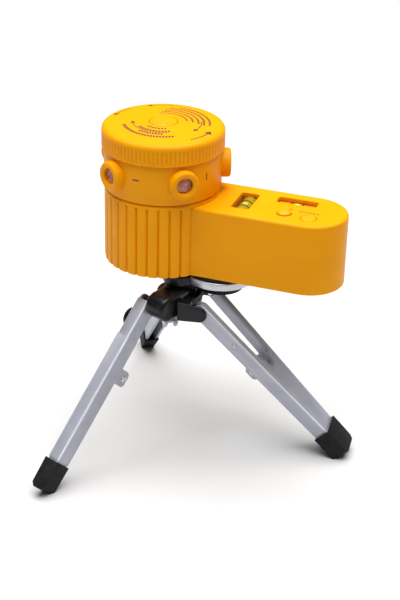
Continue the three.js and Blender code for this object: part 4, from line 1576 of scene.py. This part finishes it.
    def _side_plate(self, name: str, outline: Sequence[Pair], near: float, far: float, edge: float) -> Piece:
        """Plate of an outline drawn in reach and height, standing across the heading.

        Args:
            name: The piece's name.
            outline: Its reaches and heights.
            near: Where it starts across the heading.
            far: Where it ends.
            edge: Its edges' radius.

        Returns:
            The plate.
        """
        rings = [[Vector((x, y, z)) for x, z in outline] for y in (near, far)]
        return bevelled(loft(name, rings), edge, 4)

    def _lug(self, reach: float, offset: float, half: float) -> Piece:
        """Hinge lug with a round end about the pin.

        Args:
            reach: The pin's distance from the hub's axis.
            offset: The lug's middle, across the heading.
            half: Half its thickness.

        Returns:
            The lug.
        """
        root, height, radius = 5.5, self.pin_height, self.lug_radius
        outline = [(root, height - radius), *round_end(reach, height, radius, 16), (root, height + radius)]
        return self._side_plate("lug", outline, offset - half, offset + half, 0.25)

    def _shroud(self, side: int) -> Piece:
        """Cheek that covers the top of one of the broad leg's prongs, with its root on the base.

        Args:
            side: -1 or 1, the side it is on.

        Returns:
            The cheek.
        """
        radius = 4.6
        outline = [(3.0, self.pin_height - radius - 0.6)]
        outline += round_end(self.fork_reach, self.pin_height, radius, 24)
        outline += [(7.0, self.collar_top - 0.9), (3.0, self.collar_top - 0.9)]
        near, far = sorted((side * 15.9, side * 18.0))
        cheek = self._side_plate("shroud", outline, near, far, 0.9)
        root = plate("root", rounded_rectangle(6.6, side * 14.2, 7.2, 5.6, 0.6), -23.6, -13.4, (0.6, 0.6))
        return combined(cheek, "UNION", [root])

    def _lobe(self) -> Piece:
        """Round-ended lobe with soft edges, clear of the collar.

        Returns:
            The lobe.
        """
        reach, height, radius = 17.4, -16.8, 7.3
        outline = [(2.0, height - radius + 1), *round_end(reach, height, radius, 32), (2.0, height + radius)]
        lobe = self._side_plate("lobe", outline, -3.6, 9.4, 2.0)
        clearance = [(0.0, -5.0), (9.6, -5.0), (9.6, self.collar_top), (0.0, self.collar_top)]
        return combined(lobe, "DIFFERENCE", [lathe("collar_clearance", clearance, 96)])

    def _knob(self) -> None:
        """Small ribbed clamp knob on its screw."""
        low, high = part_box("clamp_knob")
        middle = (low + high) / 2
        axis = Vector(PLACES.joints["head_pan"]["pos_m"])
        outward = Vector((middle.x - axis.x, middle.y - axis.y, 0)).normalized()
        place = rod_frame(middle, outward) @ Matrix.Scale(MM, 4)
        profile = [(0.0, 0.6), (1.9, 0.6), (1.9, -3.25), (3.1, -3.25)]
        profile += [(3.6, z) for z in (-2.8, -2.4, -2.0, 1.6, 2.0)]
        profile += [(3.5, 2.6), (3.0, 3.1), (2.0, 3.25), (0.0, 3.25)]
        knob = lathe("clamp_knob_grip", profile, 180)
        Flutes(18, 0.4, 0.6, 0.05, -2.6, 2.2, 0.5, 3.2).pressed(knob, self.forest.flutes, PART_BLACK)
        finished(moved(knob, place), PART_BLACK, Body.CLAMP, ["clamp_knob"])


# ---------------------------------------------------------------- legs


@dataclass
class ChannelLeg:
    """One folded sheet-metal leg with its foot, ears and rivets, in its own frame along +X from the pin."""

    side: str
    body: Body
    rise: float
    half_top: float
    half_foot: float
    forked: bool = False
    slope: float = 45.1
    length: float = 106.0
    drop: float = 3.8
    sheet: float = 1.2
    end_radius: float = 4.2
    bend: float = 1.1
    pin_hole: float = 1.6
    lip: float = 0.6
    sleeve: Pair = (22.0, 98.0)
    slot_half: float = 9.4
    slot_end_half: float = 7.4
    slot_end: float = 46.0
    slot_corner: float = 3.6
    notch_half: float = 3.4
    notch_end: float = 52.2
    fork_ear_half: float = 4.6
    stay_spot: Pair = (11.0, 1.0)

    def build(self) -> None:
        """Makes the leg, its foot and its rivets."""
        self._metal()
        refined(f"foot_{self.side}", FOOT_RUBBER, self.body, 0.75, 3)
        self._rivets()

    def _half(self, x: float, inset: float = 0.0) -> float:
        """Half the leg's width at a distance down it."""
        return self.half_top - (self.half_top - self.half_foot) * x / self.length - inset

    def _ear_half(self) -> float:
        """Half the distance over the two ears."""
        return self.fork_ear_half if self.forked else self._half(47.0)

    def _section(self, x: float, inset: float, low: float, high: float, bend: float) -> list[Vector]:
        """Cross-section with its two upper bends rounded.

        Args:
            x: Its distance down the leg.
            inset: How far its sides are drawn in.
            low: Its lower edge.
            high: Its upper face.
            bend: The bends' radius.

        Returns:
            Its points.
        """
        half = self._half(x, inset)
        arc = [(bend * (1 - math.cos(a)), bend * (1 - math.sin(a))) for a in quarter_turn(5)]
        right = [Vector((x, half - inward, high - down)) for inward, down in arc]
        left = [Vector((x, -p.y, p.z)) for p in reversed(right)]
        return [Vector((x, half, low)), *right, *left, Vector((x, -half, low))]

    def _trough(self, name: str, inset: float, low: float, high: float, bend: float, ends: Pair) -> Piece:
        """Lofted length of the section."""
        return loft(name, [self._section(x, inset, low, high, bend) for x in ends])

    def _slot_outline(self, grow: float) -> list[Pair]:
        """Slot between the prongs, with the narrower notch beyond it.

        Args:
            grow: How far it is drawn out.

        Returns:
            Its points.
        """
        wide, end_half, end = self.slot_half + grow, self.slot_end_half + grow, self.slot_end + grow
        corner = self.slot_corner
        arc = quarter_turn(6)
        notch, notch_end = self.notch_half + grow, self.notch_end + grow
        upper = [(-self.end_radius - 3, wide)]
        upper += [(end - corner + corner * math.sin(a), end_half - corner * (1 - math.cos(a))) for a in arc]
        upper += [(end, notch + 0.02), (notch_end - 1.2, notch)] if notch < end_half - corner else []
        upper += [(notch_end, notch - 1.2)]
        return [(x, -y) for x, y in upper] + upper[::-1]

    def _slot_cutter(self, grow: float, low: float, high: float) -> Piece:
        """Solid of the slot's outline."""
        outline = self._slot_outline(grow)
        return loft("slot", [[Vector((x, y, z)) for x, y in outline] for z in (low, high)])

    def _metal(self) -> None:
        """Folded channel, open below, with a rounded top end, hinge holes and two ears."""
        start, end, inner = -self.end_radius, self.length, self.rise - self.sheet
        leg = self._trough(f"leg_{self.side}_channel", 0.0, -self.drop, self.rise, self.bend, (start, end))
        ends = (start - 1, end + 1)
        inside = self._trough("inside", self.sheet, -self.drop - 1, inner, self.bend * 0.4, ends)
        if self.forked:
            combined(inside, "DIFFERENCE", [self._slot_cutter(self.sheet, self.lip, self.rise + 1)])
        combined(leg, "DIFFERENCE", [inside])
        if self.forked:
            combined(leg, "DIFFERENCE", [self._slot_cutter(0.0, -self.drop - 1, self.rise + 1)])
        else:
            sleeve = self._trough("sleeve", -0.35, -self.drop, self.rise + 0.35, self.bend, self.sleeve)
            core = self._trough("core", 0.3, -self.drop - 1, self.rise - 0.3, self.bend, (0.0, end))
            combined(leg, "UNION", [combined(sleeve, "DIFFERENCE", [core])])
        ear_start, depth = (43.0, 9.6) if self.forked else (38.0, 12.6)
        across = self._ear_half() - self.sheet / 2
        ears = [self._ear(ear_start, side * across, depth, inner + 0.2) for side in (-1, 1)]
        combined(leg, "UNION", ears)
        width = self.half_top + 2
        corner = [Vector((start - 1, 0, -self.rise - 1)), Vector((0.0, 0, -self.rise - 1))]
        arc = [-math.pi / 2 - math.pi * i / 24 for i in range(25)]
        arc_points = [Vector((self.end_radius * math.cos(a), 0, self.end_radius * math.sin(a))) for a in arc]
        top = [Vector((0.0, 0, self.rise + 1)), Vector((start - 1, 0, self.rise + 1))]
        outline = [*corner, *arc_points, *top]
        rings = [[p + Vector((0, y, 0)) for p in outline] for y in (-width, width)]
        pin = [(0.0, width), (self.pin_hole, width), (self.pin_hole, -width), (0.0, -width)]
        pin_axis = rod_frame(Vector((0, 0, 0)), Vector((0, 1, 0)))
        cutters = [loft("corner", rings), moved(lathe("pin_hole", pin, 40), pin_axis)]
        if self.side == "left":
            stay_axis = rod_frame(Vector((self.stay_spot[0], 0, self.stay_spot[1])), Vector((0, -1, 0)))
            cutters.append(moved(lathe("stay_hole", [(0, 9), (1.6, 9), (1.6, 1.5), (0, 1.5)], 32), stay_axis))
        combined(leg, "DIFFERENCE", cutters)
        bevelled(leg, 0.16, 2, 50.0)
        # Faces on the upper bends get the painted highlight finish below, a near-white metal for the bright edge
        # lines.
        bends = [i for i, f in enumerate(leg.data.polygons) if f.normal.z > 0.3 and abs(f.normal.y) > 0.3]
        place = PLACES.leg(self.side, self.slope)
        finish = leg_finish(self.side, place.to_quaternion().inverted().to_euler())
        finished(moved(leg, place), finish, self.body, [f"leg_{self.side}"], 30.0)
        leg.data.materials.append(PAINTED_EDGE_HIGHLIGHT.material())
        for i in bends:
            leg.data.polygons[i].material_index = 1

    def _ear(self, start: float, across: float, depth: float, top: float) -> Piece:
        """Ear folded in from the sheet, its free corners rounded.

        Args:
            start: Its upper edge's distance down the leg.
            across: Its middle's distance from the leg's own middle.
            depth: How far it hangs below the pin's level.
            top: Where it meets the face.

        Returns:
            The ear.
        """
        turns = quarter_turn(6)
        end, corner, half = start + 9.0, 2.6, self.sheet / 2
        outline = [(start, top)]
        outline += [(start + corner * (1 - math.cos(a)), -depth + corner * (1 - math.sin(a))) for a in turns]
        outline += [(end - corner * (1 - math.sin(a)), -depth + corner * (1 - math.cos(a))) for a in turns]
        outline += [(end, top)]
        return loft("ear", [[Vector((x, across + y, z)) for x, z in outline] for y in (-half, half)])

    def _rivet(self, name: str, start: Vector, direction: Vector, radius: float, length: float) -> Piece:
        """Domed rivet head standing on a face, with its shank running back.

        Args:
            name: The piece's name.
            start: The head's middle on the face.
            direction: Out of the face.
            radius: The head's radius.
            length: The shank's length.

        Returns:
            The rivet.
        """
        rise = 0.9
        profile = [(0.0, rise)]
        profile += [(radius * math.sin(a), rise * math.cos(a) ** 0.8) for a in quarter_turn(7)[1:7]]
        profile += [(radius, 0.12), (radius, 0.0), (1.3, 0.0), (1.3, -length), (0.0, -length)]
        return moved(lathe(name, profile, 40), rod_frame(start, direction))

    def _rivets(self) -> None:
        """Hinge pins with domed heads, the ears' cross rivet, and the left leg's stay cap."""
        place = PLACES.leg(self.side, self.slope)
        y_axis = Vector((0, 1, 0))
        if self.forked:
            for letter, side in (("a", -1), ("b", 1)):
                name = f"hinge_pin_right_{letter}_cap"
                pin = self._rivet(name, side * y_axis * 14.8, side * y_axis, 2.4, 5.5)
                finished(moved(pin, place), PLATED_STEEL, Body.HUB, [f"hinge_pin_right_{letter}"])
        else:
            side = -1 if self.side == "left" else 1
            length = 12.0 if self.side == "left" else 8.2
            pin = self._rivet(f"hinge_pin_{self.side}_rivet", side * y_axis * 4.2, side * y_axis, 2.4, length)
            finished(moved(pin, place), PLATED_STEEL, Body.HUB, [f"hinge_pin_{self.side}"])
        ear_half = self._ear_half()
        spot = (47.4, 7.0) if self.forked else (42.5, 9.6)
        heads = []
        for side in (-1, 1):
            face = Vector((spot[0], side * ear_half, -spot[1]))
            heads.append(self._rivet("ear_rivet", face, side * y_axis, 1.9, ear_half))
        if self.forked:
            heads.append(self._rivet("face_rivet", Vector((27, -self._half(27.0), 0.6)), -y_axis, 1.2, 1.0))
        finished(moved(joined(f"ear_rivets_{self.side}", heads), place), PLATED_STEEL, self.body)
        if self.side == "left":
            along, height = self.stay_spot
            start = Vector((along, -self._half(5.4), height))
            cap = [(0.0, 1.9), (4.6, 1.9), (5.2, 1.75), (5.6, 1.3), (5.6, 0.3)]
            cap += [(1.3, 0.3), (1.3, -2.0), (0.0, -2.0)]
            disc = moved(lathe("stay_cap_left", cap, 72), rod_frame(start, -y_axis))
            finished(moved(disc, place), HUB_BLACK, self.body, ["leg_cap_left"])


# ---------------------------------------------------------------- carried-over pieces


def dress_carried_nodes() -> None:
    """Gives each CAD node that is still shown its finish."""
    finishes = {
        Slot.YELLOW: MOULDED_YELLOW,
        Slot.ORANGE: WELL_ORANGE,
        Slot.BLACK: PART_BLACK,
        Slot.RUBBER: FOOT_RUBBER,
        Slot.ALUMINIUM: SATIN_PLATE,
        Slot.STEEL: PLATED_STEEL,
        Slot.BRASS: BRASS,
        Slot.LENS: LENS_RED_PAINTED_SHEEN,
        Slot.LIQUID: VIAL_GREEN,
        Slot.BOARD: BOARD_GREEN,
        Slot.NYLON: NYLON,
    }
    slots = {s["node"]: Slot(s["material_slot"]) for s in frame["record"]["subparts"]}
    for node, piece in frame["nodes"].items():
        if piece.hide_render:
            continue
        material = finishes[slots[node]].material()
        if piece.data.materials:
            piece.data.materials[0] = material
        else:
            piece.data.materials.append(material)
        log.info("%s keeps its shape", node)


# ---------------------------------------------------------------- studio


@dataclass
class Studio:
    """Pale floor, soft lights and the camera."""

    eye: tuple[float, float, float] = (260.8, -679.3, 352.2)
    aim: tuple[float, float, float] = (30.0, -20.3, -13.5)
    right: tuple[float, float, float] = (0.93982, 0.34101, 0.02145)
    lens: float = 87.4
    sensor: float = 36.0
    floor_reach: float = 6.0
    floor_colour: Colour = (0.66, 0.66, 0.66)
    surroundings: float = 0.07

    def build(self) -> None:
        """Makes the floor, lights, world and camera."""
        scene = bpy.context.scene
        scene.view_settings.view_transform = "Standard"
        self._floor()
        self._world(scene)
        self._light("overhead", (0.0, 0.1, 1.9), (0.0, 0.0, 0.05), 2.3, 92.0)
        self._light("front_left", (-0.95, -1.0, 0.5), (0.0, 0.0, 0.08), 0.6, 0.6)
        self._camera(scene)

    def _floor(self) -> None:
        """Flat pale floor at the feet."""
        reach = self.floor_reach
        corners = [Vector((x * reach, y * reach, 0)) for x, y in ((-1, -1), (1, -1), (1, 1), (-1, 1))]
        floor = mesh_piece("floor", corners, [(0, 1, 2, 3)])
        pale = self.floor_colour
        finish = Finish("floor_pale", Slot.NYLON, pale, pale, 0.9, 0.02, 4.0, 40.0, 0.0)
        floor.data.materials.append(finish.material())

    def _world(self, scene: bpy.types.Scene) -> None:
        """Gives a scene even white surroundings.

        Args:
            scene: The scene.
        """
        world = bpy.data.worlds.new("studio")
        world.use_nodes = True
        background = world.node_tree.nodes["Background"]
        background.inputs["Color"].default_value = (1.0, 1.0, 1.0, 1.0)
        background.inputs["Strength"].default_value = self.surroundings
        scene.world = world

    @staticmethod
    def _light(name: str, spot: Sequence[float], aim: Sequence[float], size: float, watts: float) -> None:
        """Adds a square soft light.

        Args:
            name: The light's name.
            spot: Where it stands.
            aim: The point that it looks at.
            size: Its side, in metres.
            watts: Its power.
        """
        data = bpy.data.lights.new(name, "AREA")
        data.size = size
        data.energy = watts
        lamp = bpy.data.objects.new(name, data)
        lamp.location = spot
        lamp.rotation_euler = (Vector(aim) - Vector(spot)).to_track_quat("-Z", "Y").to_euler()
        bpy.context.scene.collection.objects.link(lamp)

    def _camera(self, scene: bpy.types.Scene) -> None:
        """Adds the camera, placed in the level's frame, with its slight roll.

        Args:
            scene: The scene.
        """
        data = bpy.data.cameras.new("camera")
        data.lens = self.lens
        data.sensor_width = self.sensor
        camera = bpy.data.objects.new("camera", data)
        place = PLACES.level()
        eye, aim = place @ Vector(self.eye), place @ Vector(self.aim)
        back = (eye - aim).normalized()
        right = Vector(self.right)
        right = (right - back * right.dot(back)).normalized()
        turn = Matrix((right, back.cross(right), back)).transposed().to_4x4()
        camera.matrix_world = Matrix.Translation(eye) @ turn
        scene.collection.objects.link(camera)
        scene.camera = camera


def main() -> None:
    """Builds the level, head, tripod and studio in order."""
    logging.basicConfig(level=logging.INFO, format="%(name)s: %(message)s")
    forest = Forest()
    LevelBody(forest).build()
    TurningHead(forest).build()
    BallHead(forest).build()
    ChannelLeg("right", Body.LEG_RIGHT, 4.2, 14.5, 7.6, forked=True).build()
    ChannelLeg("left", Body.LEG_LEFT, 5.8, 3.9, 3.5).build()
    ChannelLeg("back", Body.LEG_BACK, 5.8, 3.9, 3.5).build()
    dress_carried_nodes()
    Studio().build()


if __name__ == "__main__":
    main()
